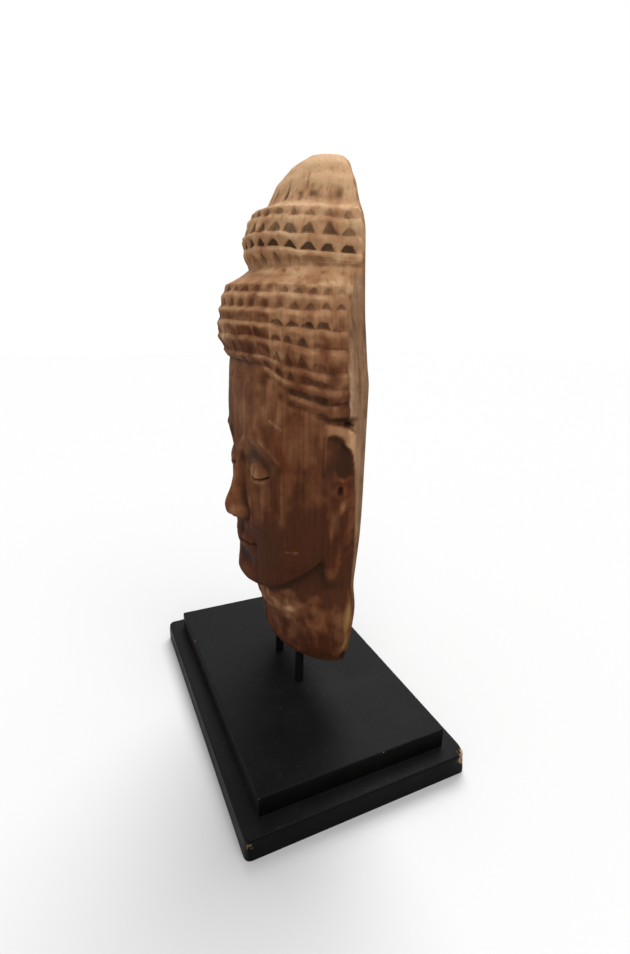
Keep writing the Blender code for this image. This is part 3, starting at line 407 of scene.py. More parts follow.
# Colours. The wood's go by tone, from worn and pale to handled and dark, and the bare side's by its grain.
BLACK, WHITE = (0.0, 0.0, 0.0), (1.0, 1.0, 1.0)
WOOD_TONES = (
    (0.00, (0.660, 0.410, 0.225)), (0.20, (0.510, 0.278, 0.140)), (0.42, (0.345, 0.164, 0.078)),
    (0.66, (0.205, 0.082, 0.036)), (0.88, (0.118, 0.039, 0.0155)), (1.00, (0.076, 0.024, 0.0100)),
)
SIDE_WOOD = ((0.28, (0.110, 0.056, 0.028)), (0.50, (0.290, 0.160, 0.086)), (0.72, (0.430, 0.262, 0.152)))
PORES = ((0.30, (0.50, 0.46, 0.43)), (0.48, WHITE), (1.0, (1.06, 1.05, 1.04)))
RUDDY_TINT = (1.10, 0.86, 0.76)
FRESH_WOOD = (0.36, 0.20, 0.065)
# The dark colour of grime and painted shade in the cuts, hollows and notches and under faces that lean down
GRIME_AND_SHADE = (0.042, 0.018, 0.0085)
PAINT = ((0.30, (0.0070, 0.0070, 0.0076)), (0.55, (0.0100, 0.0100, 0.0108)),
         (0.80, (0.0150, 0.0150, 0.0158)))
DUST = (0.030, 0.0295, 0.029)
SPECK = (0.050, 0.049, 0.048)
UNDER_PAINT = ((0.30, (0.155, 0.085, 0.040)), (0.60, (0.40, 0.255, 0.135)), (0.80, (0.55, 0.38, 0.22)))
# What the way a face points does to the boards' paint: the upright sides are darkened with painted shade,
# and the front one is made paler with painted light
SIDE_SHADE_TINT = (0.26, 0.23, 0.20)
FRONT_LIGHT_TINT = (1.6, 1.5, 1.3)
ROD_PAINT = ((0.35, (0.0035, 0.0035, 0.004)), (0.70, (0.007, 0.007, 0.008)))
FLOOR_GREY = (0.70, 0.70, 0.70)


# Curves and noise

def through(points, at):
    """Values on a smooth curve through (place, value) pairs, with no overshoot between them."""
    place, value = np.array(points, float).T
    step = np.diff(place)
    slope = np.diff(value) / step
    tangent = np.concatenate([slope[:1], np.zeros(len(slope) - 1), slope[-1:]])
    turning = slope[1:] * slope[:-1]
    keeps = np.flatnonzero(turning > 0)
    tangent[keeps + 1] = 2 * turning[keeps] / (slope[1:] + slope[:-1])[keeps]
    at = np.clip(at, place[0], place[-1])
    i = np.clip(np.searchsorted(place, at, side="right") - 1, 0, len(step) - 1)
    t = (at - place[i]) / step[i]
    return (
        value[i] * (1 + 2 * t) * (1 - t) ** 2
        + tangent[i] * step[i] * t * (1 - t) ** 2
        + value[i + 1] * t * t * (3 - 2 * t)
        + tangent[i + 1] * step[i] * t * t * (t - 1)
    )


def unit(values):
    """Values kept from 0 to 1."""
    return np.clip(values, 0, 1)


def ease(low, high, at):
    """0 at low, 1 at high, and a smooth step between them, whichever is larger."""
    t = unit((at - low) / (high - low))
    return t * t * (3 - 2 * t)


def dome(x, y):
    """A smooth dome, 1 at the origin and 0 from a distance of 1."""
    return unit(1 - x * x - y * y) ** 2


def domes(table, x, y):
    """The sum of a table of domes and dents."""
    return sum(
        rise * dome((x - across) / half_across, (y - level) / half_high) ** power
        for across, level, half_across, half_high, rise, power in table
    )


def line(distance, width):
    """A soft line, 1 on it, that has faded out a little over one width away."""
    return np.exp(-((distance / width) ** 2))


def hashed(cell, seed):
    """A fixed number from 0 to 1 for each whole-numbered cell."""
    cell = cell.astype(np.int64)
    bits = cell[..., 0] * 73856093 ^ cell[..., 1] * 19349663 ^ cell[..., 2] * 83492791
    bits = bits ^ (seed + 1) * 2654435761
    bits = (bits ^ (bits >> 13)) * 1274126177
    return ((bits ^ (bits >> 16)) & 0xFFFFFF) / 0xFFFFFF


def noise(points, seed, octaves=1):
    """Smooth noise from -1 to 1, for points measured in its cells."""
    total, strength, whole = 0.0, 1.0, 0.0
    for octave in range(octaves):
        cell = np.floor(points)
        t = points - cell
        t = t * t * (3 - 2 * t)
        for corner in np.ndindex(2, 2, 2):
            weight = np.prod(np.where(corner, t, 1 - t), -1)
            total = total + strength * weight * (2 * hashed(cell + corner, seed + 7 * octave) - 1)
        whole += strength
        strength *= 0.5
        points = points * 2.03 + 11.7
    return total / whole


def noise_in(points, size, seed, octaves=1):
    """Noise in cells of this size in metres: one number, or one for each axis."""
    return noise(points / np.array(size), seed, octaves)


def ripple(x, y, z, seed, octaves=1):
    """Noise at these coordinates, each of them numbers or an array."""
    return noise(np.stack(np.broadcast_arrays(x, y, z), -1), seed, octaves)


def scoops(points, seed):
    """Squared distance to the nearest of scattered centres, 0 to about 0.6: the scallops that a gouge
    leaves."""
    nearest = np.full(points.shape[:-1], np.inf)
    home = np.floor(points)
    for step in np.ndindex(3, 3, 3):
        cell = home + np.array(step) - 1
        centre = cell + np.stack([hashed(cell, seed + k) for k in range(3)], -1)
        nearest = np.minimum(nearest, ((points - centre) ** 2).sum(-1))
    return np.clip(nearest, 0, 0.6)


# The head's form

def half_width(h):
    """Half the plank's width in metres at a share of the head's height."""
    return through(OUTLINE, h) * HEAD_WIDTH / 2


def guide_depth(h):
    """Depth of the smooth envelope that columns are spaced along."""
    return np.where(h < TOPKNOT_FOOT, through(GUIDE_DEPTH, h), through(TOPKNOT_DEPTH, h)) * HEAD_DEPTH


def strip_depth(h):
    """How far the plank's straight side runs forward from the back. It dies out at the topknot."""
    return SIDE_STRIP * HEAD_DEPTH * (1 - ease(*SIDE_STRIP_ENDS, h)) + LEAST_STRIP


def reach(angle, width, depth, strip, power):
    """Distance from the head's axis to a body whose plan is straight-sided up to strip from the back, and
    then closes in a superellipse of this half-width and depth. Angle 0 points forward."""
    axis = AXIS_FROM_BACK * HEAD_DEPTH
    low, high = np.zeros_like(angle), np.full_like(angle, 2 * HEAD_WIDTH)
    for _ in range(HALVINGS):
        middle = (low + high) / 2
        across = np.abs(middle * np.sin(angle)) / width
        forward = np.clip(axis + middle * np.cos(angle) - strip, 0, None) / (depth - strip)
        inside = across**power + forward**power < 1
        low, high = np.where(inside, middle, low), np.where(inside, high, middle)
    return low


def angle_table(shares=240, heights=400):
    """Angle from the head's axis for each share of the way round, 0 at the middle to 1 at a back corner,
    and each height: a share is a share of the length of the envelope's plan."""
    axis = AXIS_FROM_BACK * HEAD_DEPTH
    turn = np.linspace(0, np.pi / 2, 120)
    table = np.empty((heights + 1, shares + 1))
    for i, h in enumerate(np.linspace(0, 1, heights + 1)):
        width, strip, depth = half_width(h), strip_depth(h), guide_depth(h)
        x = np.concatenate([width * np.sin(turn), [width]])
        y = np.concatenate([strip + (depth - strip) * np.cos(turn), [0]])
        run = np.concatenate([[0], np.cumsum(np.hypot(np.diff(x), np.diff(y)))])
        table[i] = np.interp(np.linspace(0, 1, shares + 1) * run[-1], run, np.arctan2(x, y - axis))
    return table


def angle_at(table, share, h):
    """The table's angle at any share and height, negative on the figure's right side."""
    row, column = unit(h) * (len(table) - 1), np.abs(share) * (table.shape[1] - 1)
    i, j = np.minimum(row.astype(int), len(table) - 2), np.minimum(column.astype(int), table.shape[1] - 2)
    v, u = row - i, column - j
    low = table[i, j] * (1 - u) + table[i, j + 1] * u
    high = table[i + 1, j] * (1 - u) + table[i + 1, j + 1] * u
    return (low * (1 - v) + high * v) * np.sign(share)


def nose_relief(side, h):
    """A straight nose with a soft ridge, the fold round its wings and a base cut back to the lip."""
    bridge = BROW - 0.05 * THIRD
    down = np.clip((bridge - h) / (bridge - NOSE_BASE), 0, 1.2)
    width = NOSE_HALF * through(NOSE_WIDTHS, down)
    ridge = NOSE_RISE * through(NOSE_PROFILE, down) * unit(1 - (side / width) ** 1.8)
    from_wing = np.hypot(side - 0.66 * NOSE_HALF, 4.2 * (h - NOSE_BASE - 0.09 * THIRD))
    fold = -0.012 * line(from_wing - 0.085, 0.012) * ease(0.60 * NOSE_HALF, 0.95 * NOSE_HALF, side)
    return ridge + fold


def brow_line(side):
    """Height of the brow's arch."""
    return BROW + THIRD * through(BROW_ARCH, side)


def lid_line(side):
    """Height of the upper lid's rim, which hangs a little in its middle."""
    across = (side - EYE_OUT) / EYE_HALF
    return EYE - 0.0085 * unit(1 - across**2) + 0.003 * np.clip(across, -1, 1)


def lip_line(side):
    """Height of the parting of the lips, turned up a little at its ends."""
    across = unit(side / MOUTH_HALF)
    return MOUTH + 0.0055 * across**2 - 0.0014 * np.cos(2 * np.pi * across)


def eye_relief(side, h):
    """A half-closed eye under a long arched brow, with the lid's crease and the lower lid's rim."""
    arch = brow_line(side)
    brow = 0.016 * line(h - arch - 0.003, 0.008) * ease(0.78, 0.60, side) * ease(0.03, 0.09, side)
    brow_cut = -0.006 * line(h - arch + 0.003, 0.0020) * ease(0.74, 0.62, side) * ease(0.08, 0.16, side)
    socket = -0.052 * ease(arch, arch - 0.013, h) * dome((side - 0.33) / 0.36, (h - EYE - 0.016) / 0.062)
    across = (side - EYE_OUT) / EYE_HALF
    lid = lid_line(side)
    ball = 0.064 * dome(across / 1.18, (h - EYE - 0.001) / 0.036) ** 0.85
    slit = -0.030 * line(h - lid + LID_SLIT, 0.6 * LID_SLIT) * ease(*SLIT_ENDS, np.abs(across))
    crease = -0.009 * line(h - lid - 0.010 - 0.019 * unit(1 - across**2), 0.0022)
    crease = crease * ease(1.25, 1.0, np.abs(across))
    rim = 0.006 * line(h - lid + 2.6 * LID_SLIT, 0.0030) * ease(1.05, 0.8, np.abs(across))
    pouch = -0.004 * line(h - lid + 0.022 - 0.006 * across**2, 0.0035) * ease(1.1, 0.7, np.abs(across))
    return brow + brow_cut + socket + ball + slit + crease + rim + pouch


def mouth_relief(side, h):
    """Full lips with a soft smile."""
    across = side / MOUTH_HALF
    full = unit(1 - across**2)
    parting = lip_line(side)
    bow = 1 - 0.15 * line(side, 0.035) + 0.10 * line(side - 0.09, 0.05)
    above, under = (h - parting) / (UPPER_LIP * bow), (parting - h) / LOWER_LIP
    upper = 0.042 * full**0.75 * np.where(above >= 0, unit(1 - above**2) ** 0.8, 0)
    lower = 0.046 * full * np.where(under > 0, unit(1 - under**2) ** 0.8, 0)
    between = -0.026 * line(h - parting, 0.0024) * ease(1.16, 0.85, across)
    corner = -0.020 * dome((across - 1.05) / 0.22, (h - parting) / 0.017)
    under_lip = -0.014 * dome(side / 0.26, (h - parting + 0.036) / 0.016)
    lip_edge = 0.004 * line(above - 1, 0.10) * full**0.5 + 0.003 * line(under - 1, 0.10) * full**0.5
    return upper + lower + between + corner + under_lip + lip_edge


def face_relief(across, h):
    """What stands out of the face's smooth oval, as a share of the head's depth, at a share of its
    half-width."""
    side = np.abs(across)
    return nose_relief(side, h) + eye_relief(side, h) + mouth_relief(side, h) + domes(FACE_DOMES, side, h)


def ear_relief(forward, h):
    """The long ear, cut into the plank's side: how deep it is cut at a height and a distance forward from
    the flat back, how much of the place it covers, and the groove behind it, all as shares of the head's
    depth."""
    front = through(EAR_FRONT, h)
    top = through(EAR_TOP_EDGE, forward)
    covers = ease(front + 0.042, front - 0.012, forward) * ease(EAR_FOOT - 0.030, EAR_FOOT + 0.014, h)
    covers = covers * ease(top + 0.005, top - 0.003, h)
    rim = through(EAR_HOLLOW_EDGE, forward)
    bowl = -0.046 * ease(rim + 0.005, rim - 0.014, h) * ease(0.425, 0.462, h) * ease(0.342, 0.326, forward)
    bowl = bowl * ease(0.080, 0.120, forward)
    crease = -0.030 * line(forward - 0.210 - 0.15 * (h - 0.46), 0.011)
    crease = crease * ease(0.434, 0.444, h) * ease(0.488, 0.474, h)
    edge = -0.022 * line(forward - front + 0.012, 0.020) * ease(0.22, 0.28, h) * ease(0.36, 0.31, h)
    behind = -0.026 * line(forward - 0.050, 0.016) * ease(0.20, 0.25, h) * ease(0.36, 0.32, h)
    return bowl + crease + edge + domes(EAR_DOMES, forward, h), covers, behind


def face_oval(angle, h):
    """Distance from the head's axis to the smooth oval that the face is cut from."""
    depth = through(FACE_DEPTH, h) * HEAD_DEPTH
    strip = np.minimum(FACE_STRIP * HEAD_DEPTH, 0.8 * depth)
    return reach(angle, through(FACE_WIDTH, h) * HEAD_WIDTH / 2, depth, strip, FACE_POWER)


def carved(share, angle, h):
    """Distance from the head's axis to the surface below the hair: neck, face, ears and the plank's bare
    sides."""
    plank = reach(angle, half_width(h), guide_depth(h), strip_depth(h), PLANK_POWER)
    neck = reach(angle, half_width(h), through(NECK_DEPTH, h) * HEAD_DEPTH, LEAST_STRIP, NECK_POWER)
    fold = through(NECK_FOLD, np.abs(share))
    for above, width, rise in NECK_ROLLS:
        neck = neck + rise * HEAD_DEPTH * line(h - fold - above, width) * ease(0.95, 0.8, np.abs(share))
    face = face_oval(angle, h)
    across = face * np.sin(angle) / (HEAD_WIDTH / 2)
    face = face + face_relief(across, h) * HEAD_DEPTH * ease(1.35, 1.05, np.abs(angle))
    jaw = through(JAW, np.abs(share))
    body = neck + np.maximum(face - neck, 0) * ease(jaw - 0.010, jaw + 0.012, h)
    forward = AXIS_FROM_BACK + plank * np.cos(angle) / HEAD_DEPTH
    cut, covers, behind = ear_relief(forward, h)
    body = np.where(forward < 0.075, np.maximum(body, plank + behind * HEAD_DEPTH), body)
    body = np.maximum(body, body + (plank + cut * HEAD_DEPTH - body) * covers)
    over_ear = -0.060 * dome((forward - 0.145) / 0.052, (h - 0.5338 - 0.035 * (forward - 0.145)) / 0.0060)
    return body + over_ear * HEAD_DEPTH


def hair_base(angle, h):
    """The surface that the main hair's curls stand on."""
    return reach(angle, half_width(h), through(HAIR_DEPTH, h) * HEAD_DEPTH, strip_depth(h), PLANK_POWER)


def topknot_base(share, angle, h):
    """The surface that the topknot's curls stand on, and the worn tip above them."""
    depth = through(TOPKNOT_DEPTH, h) * HEAD_DEPTH
    base = reach(angle, half_width(h), depth, TOPKNOT_STRIP, PLANK_POWER)
    down = (h - NOTCH_HEIGHT) / NOTCH_HALF_HEIGHT
    worn = sum(dome((share - at) / NOTCH_HALF_WIDTH, down) for at in NOTCHES)
    return base - NOTCH_DEPTH * HEAD_DEPTH * worn


def row_parts(at_front, at_side, fan, share):
    """Heights where the rows part, one row of heights for each parting, for each share of the way round."""
    turn = through(fan, np.abs(share))[None]
    return np.array(at_front)[:, None] * (1 - turn) + np.array(at_side)[:, None] * turn


def on_a_point(columns):
    """Whether a line runs along the middle of a column of curls."""
    return np.abs(columns - np.round(columns)) < 0.1


def curl_nodes(parts, share, columns, inner, per_half, rises, starts, bar_starts, feet, seams, rise, seed):
    """Corner and top points of a hand-cut grid of curls, from the crown down. Even rows are the level cuts
    and odd rows the ledges; columns holds each line's place counted in curls, whole over a notch, and inner
    says which lines are part of the grid. feet holds, row by row, the rise at the foot in a notch and
    between notches, and seams where the notches start. Returns each node's share, height and rise, and
    whether curls cover it."""
    drift = np.random.default_rng(seed)
    rows = 2 * len(rises) + 1
    height = np.empty((rows, len(share)))
    height[::2] = parts
    height[1::2] = parts[:-1] * (1 - LEDGE_FROM_TOP) + parts[1:] * LEDGE_FROM_TOP
    shares = np.repeat(share[None], rows, 0)
    inside = np.zeros((rows, len(share)), bool)
    inside[2:-1:2] = inner
    pitch = np.repeat(np.abs(np.diff(parts, axis=0)), 2, 0)
    pitch = np.concatenate([pitch, pitch[-1:]])
    shift = np.where(inside, CUT_DRIFT * pitch * (drift.random(height.shape) - 0.5), 0)
    shift[1::2] = shift[:-1:2]
    height += shift
    shares += np.where(inside, CUT_DRIFT / per_half * (drift.random(height.shape) - 0.5), 0)
    uneven = 1 + RISE_SPREAD * (drift.random(height.shape) - 0.6)
    lift = np.zeros_like(height)
    covered = np.zeros_like(inside)
    notch = inner & on_a_point(columns)
    place = np.abs(columns)
    by_row = zip(rises, starts, bar_starts, feet, seams)
    for row, (row_rise, start, bar_start, foot_lifts, seam) in enumerate(by_row):
        ledge, foot = 2 * row + 1, 2 * row + 2
        runs = inner & (place > start - ROW_MARGIN)
        bar = place >= bar_start
        cut = notch & (np.abs(share) > seam)
        top = np.where(bar, BAR_LEDGE, np.where(cut, LEDGE_OVER_NOTCH, 1.0))
        low = np.where(bar | cut, foot_lifts[0], foot_lifts[1])
        lift[ledge] = np.where(runs, row_rise * rise * top * uneven[ledge], 0)
        lift[foot] = np.where(runs, row_rise * rise * low * uneven[foot], 0)
    for row, start in enumerate(starts):
        covered[2 * row] = place > max(starts[max(row - 1, 0)], start) - ROW_MARGIN
        covered[2 * row + 1] = place > start - ROW_MARGIN
    return shares, height, lift, covered.astype(float)


# Grids of points on the head

def stepped(rails, step):
    """Rows between rails, spread evenly at about this step of height. Each rail is a row."""
    rows = [rails[0]]
    for low, high in zip(rails, rails[1:]):
        count = max(1, math.ceil(float((high - low).mean()) * HEAD_HEIGHT / step))
        rows += [low + (high - low) * (k + 1) / count for k in range(count)]
    return np.array(rows)


def refined(nodes, along, row_steps, steps):
    """Each cell of a stack of node grids split in its row's number of steps by steps, in two flat halves
    that meet on the diagonal that along chooses: from a cell's first corner, or from its second."""
    starts = np.concatenate([[0], np.cumsum(row_steps)])
    layers, rows, columns = nodes.shape
    made = np.empty((layers, starts[-1] + 1, (columns - 1) * steps + 1))
    for i in range(rows - 1):
        ups = np.linspace(0, 1, row_steps[i] + 1)
        v, u = np.meshgrid(ups, np.linspace(0, 1, steps + 1), indexing="ij")
        for j in range(columns - 1):
            a, b = nodes[:, i, j, None, None], nodes[:, i, j + 1, None, None]
            c, d = nodes[:, i + 1, j + 1, None, None], nodes[:, i + 1, j, None, None]
            if along[i, j]:
                cell = np.where(u >= v, a + (b - a) * u + (c - b) * v, a + (d - a) * v + (c - d) * u)
            else:
                near, far = a + (b - a) * u + (d - a) * v, c + (d - c) * (1 - u) + (b - c) * (1 - v)
                cell = np.where(u + v <= 1, near, far)
            made[:, starts[i]:starts[i + 1] + 1, j * steps:(j + 1) * steps + 1] = cell
    return made


def cell_diagonals(rows, middle):
    """For a grid whose first row is a level cut: which cells are split from their first corner, so that
    every diagonal runs to a curl's point."""
    point = (np.arange(rows) % 2 == 1)[:, None] & middle[None]
    return point[:-1, :-1] | point[1:, 1:]


def worn_points(lift, place, pitch, seed):
    """The curls' rise with their points worn flat, some more than others."""
    highest = lift.max()
    left = POINT_LEFT[0] + POINT_LEFT[1] * (0.5 + 0.5 * noise(place * pitch, seed, 2))
    cap = highest * left
    return np.minimum(lift, cap + ABOVE_WEAR * (lift - cap))


def curl_grid(nodes, middle, bar, marks, seed):
    """A dense grid of curls from its nodes, which run from the lowest cut up: share, height, rise, the
    layers (cover, the painted shade in each notch and groove, the painted shade on a facet that leans back,
    and the painted highlight along a cut's proud edge), and which way each cell is split. middle says which
    lines run through notches, bar which nodes are on a long bar, and marks holds, row by row, the notches,
    their tops, what is in front of the seam, the slits there and the grooves, and where towards the back
    they start to fade and are gone."""
    notches, cut_shade_tops, fronts, slit_places, grooves, ends = marks
    shares, heights, lift, covered = nodes
    rows, columns = lift.shape
    level = np.repeat((np.arange(rows) % 2 == 1)[:, None].astype(float), columns, 1)
    upright = np.maximum(np.repeat(middle[None].astype(float), rows, 0), bar)
    along = cell_diagonals(rows, middle)
    row_steps = [FACE_STEPS, LEDGE_STEPS] * (rows // 2)
    stack = np.stack([shares, heights, lift, covered, level, upright, bar])
    share, h, lift, cover, level, upright, bar = refined(stack, along, row_steps, CURL_STEPS)
    place = np.stack([share, h * 2.2, np.zeros_like(h)], -1)
    lift = blurred(worn_points(lift, place, 26.0, seed), 1, 0)
    cell = np.repeat(np.arange(rows - 1), row_steps)
    cell = np.concatenate([cell, cell[-1:]])
    under = (cell % 2 == 0)[:, None]

    def by_line(values):
        """Each column of a table with one entry a row, spread over the lines of the dense grid."""
        return [column[cell // 2][:, None] for column in np.atleast_2d(np.array(values[::-1]).T)]

    strength, width = by_line(notches)
    in_front, brown = by_line(fronts)
    slits = by_line(slit_places)
    (groove_top,), (cut_shade_top,) = by_line(grooves), by_line(cut_shade_tops)
    wander = noise(place * 30.0, seed + 3, 2)
    odd = ripple(share * 7.0, cell[:, None] * 3.7, 0, seed + 5)
    down = 1 - level
    # Painted shade on each notch's facet that faces down, and in the groove of a long bar
    top = cut_shade_top + 0.20 * odd
    lower = unit((down - top) / (1 - top))
    blunt = 0.26 + 0.30 * ripple(share * 7.0, cell[:, None] * 5.3, 4, seed + 8)
    wide = width * (1 + 0.18 * wander + 0.30 * odd) * (blunt + (1 - blunt) * lower)
    cut_shade = ease(-0.07, 0.09, wide - (1 - upright)) * ease(-0.02, 0.12, lower + 0.05 * wander)
    groove_top = groove_top + (1 - groove_top) * 0.70 * ease(*GROOVE_THINS, np.abs(share))
    groove = ease(groove_top - 0.08, groove_top + 0.12, down + 0.14 * wander) * (0.85 + 0.25 * wander)
    cut_shade = (cut_shade * (1 - bar) + groove * bar) * (1 + 0.40 * noise(place * 9.0, seed + 4, 2))
    cut_shade = cut_shade * (1 - 0.30 * unit(noise(place * 55.0, seed + 9, 2)))
    forward_of_seam = ease(SEAM + 0.006, SEAM - 0.006, np.abs(share + 0.004 * wander))
    left = 1 - forward_of_seam * (1 - in_front)
    shown = cover * ease(ends[1], ends[0], np.abs(share))
    cut_shade = unit(cut_shade * left) * strength * under * shown
    split = unit(sum(line(np.abs(share + 0.010 * wander) - at, 0.011) for at in slits))
    # Painted shade on the broad facets in front of the seam, which lean back and down, less on the slits
    # between them
    facet_shade = brown * forward_of_seam * ease(-0.05, 0.35, down + 0.14 * wander) * (1 - 0.9 * split)
    facet_shade = facet_shade * (1 + 0.3 * odd + 0.5 * noise(place * 24.0, seed + 10, 2)) * under * shown
    # A painted highlight along the proud edge of each ledge, where light from above catches it
    ridge = np.where(under, ease(0.80, 1.0, level), 1.0) * ease(0.3, 0.9, shown)
    ridge = ridge * unit(0.42 + 0.9 * noise(place * 14.0, seed + 6, 2))
    lift = lift - NOTCH_CUT * (cut_shade + 0.35 * facet_shade) * ease(0.15, 0.60, down) * ease(1.0, 0.90, down)
    along = np.repeat(np.repeat(along, row_steps, 0), CURL_STEPS, 1)
    return share, h, lift, np.stack([cover, cut_shade, facet_shade, ridge]), along


def extended(grid, levels):
    """A grid of curls with plain rows put above it, spread evenly between its last and these levels."""
    share, h, lift, layers, along = grid
    rows = stepped([h[-1], *(np.full(h.shape[1], level) for level in levels)], ROW_STEP)[1:]
    more = len(rows)
    lift = np.concatenate([lift, 0 * rows])
    layers = np.concatenate([layers, np.zeros((len(layers), *rows.shape))], 1)
    share = np.concatenate([share, np.repeat(share[-1:], more, 0)])
    along = np.concatenate([along, np.ones((more, along.shape[1]), bool)])
    return share, np.concatenate([h, rows]), lift, layers, along


def hair_grid(table):
    """The main hair's curls and the shelf above them, from the lowest parting up: share, height, distance,
    the layers of its curls, and which way each cell is split."""
    columns = np.arange(-2 * CURL_COLUMNS - 1, 2 * CURL_COLUMNS + 2) / 2
    inner_share = columns / CURLS_PER_HALF
    outer = np.linspace(inner_share[-1], 1, STRIP_COLUMNS + 1)[1:]
    share = np.concatenate([-outer[::-1], inner_share, outer])
    columns = share * CURLS_PER_HALF
    inner = np.abs(columns) < CURL_COLUMNS + 0.6
    parts = row_parts(ROWS_AT_FRONT, ROWS_AT_SIDE, ROWS_FAN, share)
    rise = CURL_RISE * HEAD_DEPTH * (1 - (1 - SIDE_LEFT) * ease(*SIDE_FADE, np.abs(columns)))
    feet = (PLAIN_FEET,) * len(ROW_RISES)
    seams = [SEAM - 0.02 if left < 0.5 else 0 for left, _ in ROW_FRONTS]
    nodes = curl_nodes(
        parts, share, columns, inner, CURLS_PER_HALF, ROW_RISES, ROW_STARTS, BAR_STARTS, feet, seams, rise,
        CURL_SEED,
    )
    drift = np.concatenate([ROW_DRIFTS[:1], np.repeat(ROW_DRIFTS, 2)])[:, None] / CURLS_PER_HALF
    drift = drift * ease(*DRIFT_STARTS, np.abs(share)) * ease(*DRIFT_ENDS, np.abs(share)) * np.sign(share)
    nodes[0][:] += drift
    middle = inner & on_a_point(columns)
    bar = np.repeat([np.abs(columns) >= start for start in BAR_STARTS], 2, 0).astype(float)
    bar = np.concatenate([bar[:1], bar])
    flipped = [layer[::-1] for layer in nodes]
    marks = (ROW_NOTCHES, ROW_CUT_SHADE_TOPS, ROW_FRONTS, ROW_SLITS, ROW_GROOVES, ROW_ENDS)
    grid = curl_grid(flipped, middle, bar[::-1], marks, CURL_SEED + 20)
    share, h, lift, layers, along = extended(grid, SHELF_ROWS)
    angle = angle_at(table, share, h)
    hair, bare = hair_base(angle, h), carved(share, angle, h)
    blend = unit(ease(*HAIR_EDGE, layers[0]) + ease(0.770, 0.774, h))
    return share, h, (hair + lift) * blend + bare * (1 - blend), layers, along


def topknot_grid(table):
    """The topknot's curls and its worn tip, from the foot up."""
    lines = np.arange(-2 * TOPKNOT_COLUMNS, 2 * TOPKNOT_COLUMNS + 1)
    share = np.concatenate([[-1.0], lines / (2 * TOPKNOT_PER_HALF) + TOPKNOT_SHIFT, [1.0]])
    columns = (share - TOPKNOT_SHIFT) * TOPKNOT_PER_HALF + 0.5
    inner = np.abs(share) < 1
    parts = row_parts(TOPKNOT_AT_FRONT, TOPKNOT_AT_SIDE, TOPKNOT_FAN, share)
    count = len(TOPKNOT_RISES)
    feet = (PLAIN_FEET,) * (count - 1) + (LOWEST_FEET,)
    nodes = curl_nodes(
        parts, share, columns, inner, TOPKNOT_PER_HALF, TOPKNOT_RISES, (0,) * count, (NEVER,) * count, feet,
        (0,) * count, TOPKNOT_CURL_RISE * HEAD_DEPTH, CURL_SEED + 1,
    )
    nodes[3][-1] = 1
    middle = inner & on_a_point(columns)
    bar = np.zeros((len(nodes[0]), len(share)))
    bar[-2:] = np.abs(share) > LOW_BAR_START
    flipped = [layer[::-1] for layer in nodes]
    marks = (
        TOPKNOT_NOTCHES, TOPKNOT_CUT_SHADE_TOPS, TOPKNOT_FRONTS, TOPKNOT_SLITS, TOPKNOT_GROOVES, TOPKNOT_ENDS,
    )
    grid = curl_grid(flipped, middle, bar[::-1], marks, CURL_SEED + 40)
    share, h, lift, layers, along = extended(grid, TIP_ROWS)
    angle = angle_at(table, share, h)
    return share, h, topknot_base(share, angle, h) + lift, layers, along


def below_grid(table):
    """Neck, face and ears, up to just below the lowest parting of the hair, in rows that follow the jaw,
    the lips, the lids and the brow."""
    t = np.linspace(-1, 1, 2 * FACE_COLUMNS_PER_HALF + 1)
    share = through(FACE_COLUMNS, np.abs(t)) * np.sign(t)
    flat = np.ones_like(share)
    jaw = through(JAW, np.abs(share))

    def rail(level, line_of):
        """The heights of a line on the face, which is near this level, at each column."""
        h = np.full_like(share, level)
        angle = angle_at(table, share, h)
        return line_of(np.abs(face_oval(angle, h) * np.sin(angle)) / (HEAD_WIDTH / 2))

    lips = np.maximum(rail(MOUTH, lip_line), jaw + 0.022)
    lid = rail(EYE, lid_line)
    brow = rail(BROW, brow_line)
    hair = row_parts(ROWS_AT_FRONT, ROWS_AT_SIDE, ROWS_FAN, share)[-1]
    rails = [
        0 * flat, 0.008 * flat, jaw - 0.004, jaw + 0.008, np.maximum(lips - LOWER_LIP, jaw + 0.014), lips,
        lips + 0.9 * UPPER_LIP, NOSE_BASE * flat - 0.005, NOSE_BASE * flat + 0.004, lid - 2.2 * LID_SLIT,
        lid - LID_SLIT, lid, brow - 0.013, brow, EAR_TOP * flat - 0.004, EAR_TOP * flat + 0.006,
        hair - 0.004,
    ]
    h = stepped(rails, ROW_STEP)
    shares = np.repeat(share[None], len(h), 0)
    angle = angle_at(table, shares, h)
    return shares, h, carved(shares, angle, h), np.zeros((4, *h.shape)), True


def placed(angle, distance, h):
    """World points of a grid of angles and distances from the head's axis, its ends on the flat back's
    corners."""
    x = distance * np.sin(angle)
    y = AXIS_FROM_BACK * HEAD_DEPTH + distance * np.cos(angle)
    x[:, 0], x[:, -1] = -half_width(h[:, 0]), half_width(h[:, -1])
    y[:, 0] = y[:, -1] = 0
    return np.stack([x, HEAD_BACK - np.clip(y, 0, None), HEAD_FOOT + h * HEAD_HEIGHT], -1)


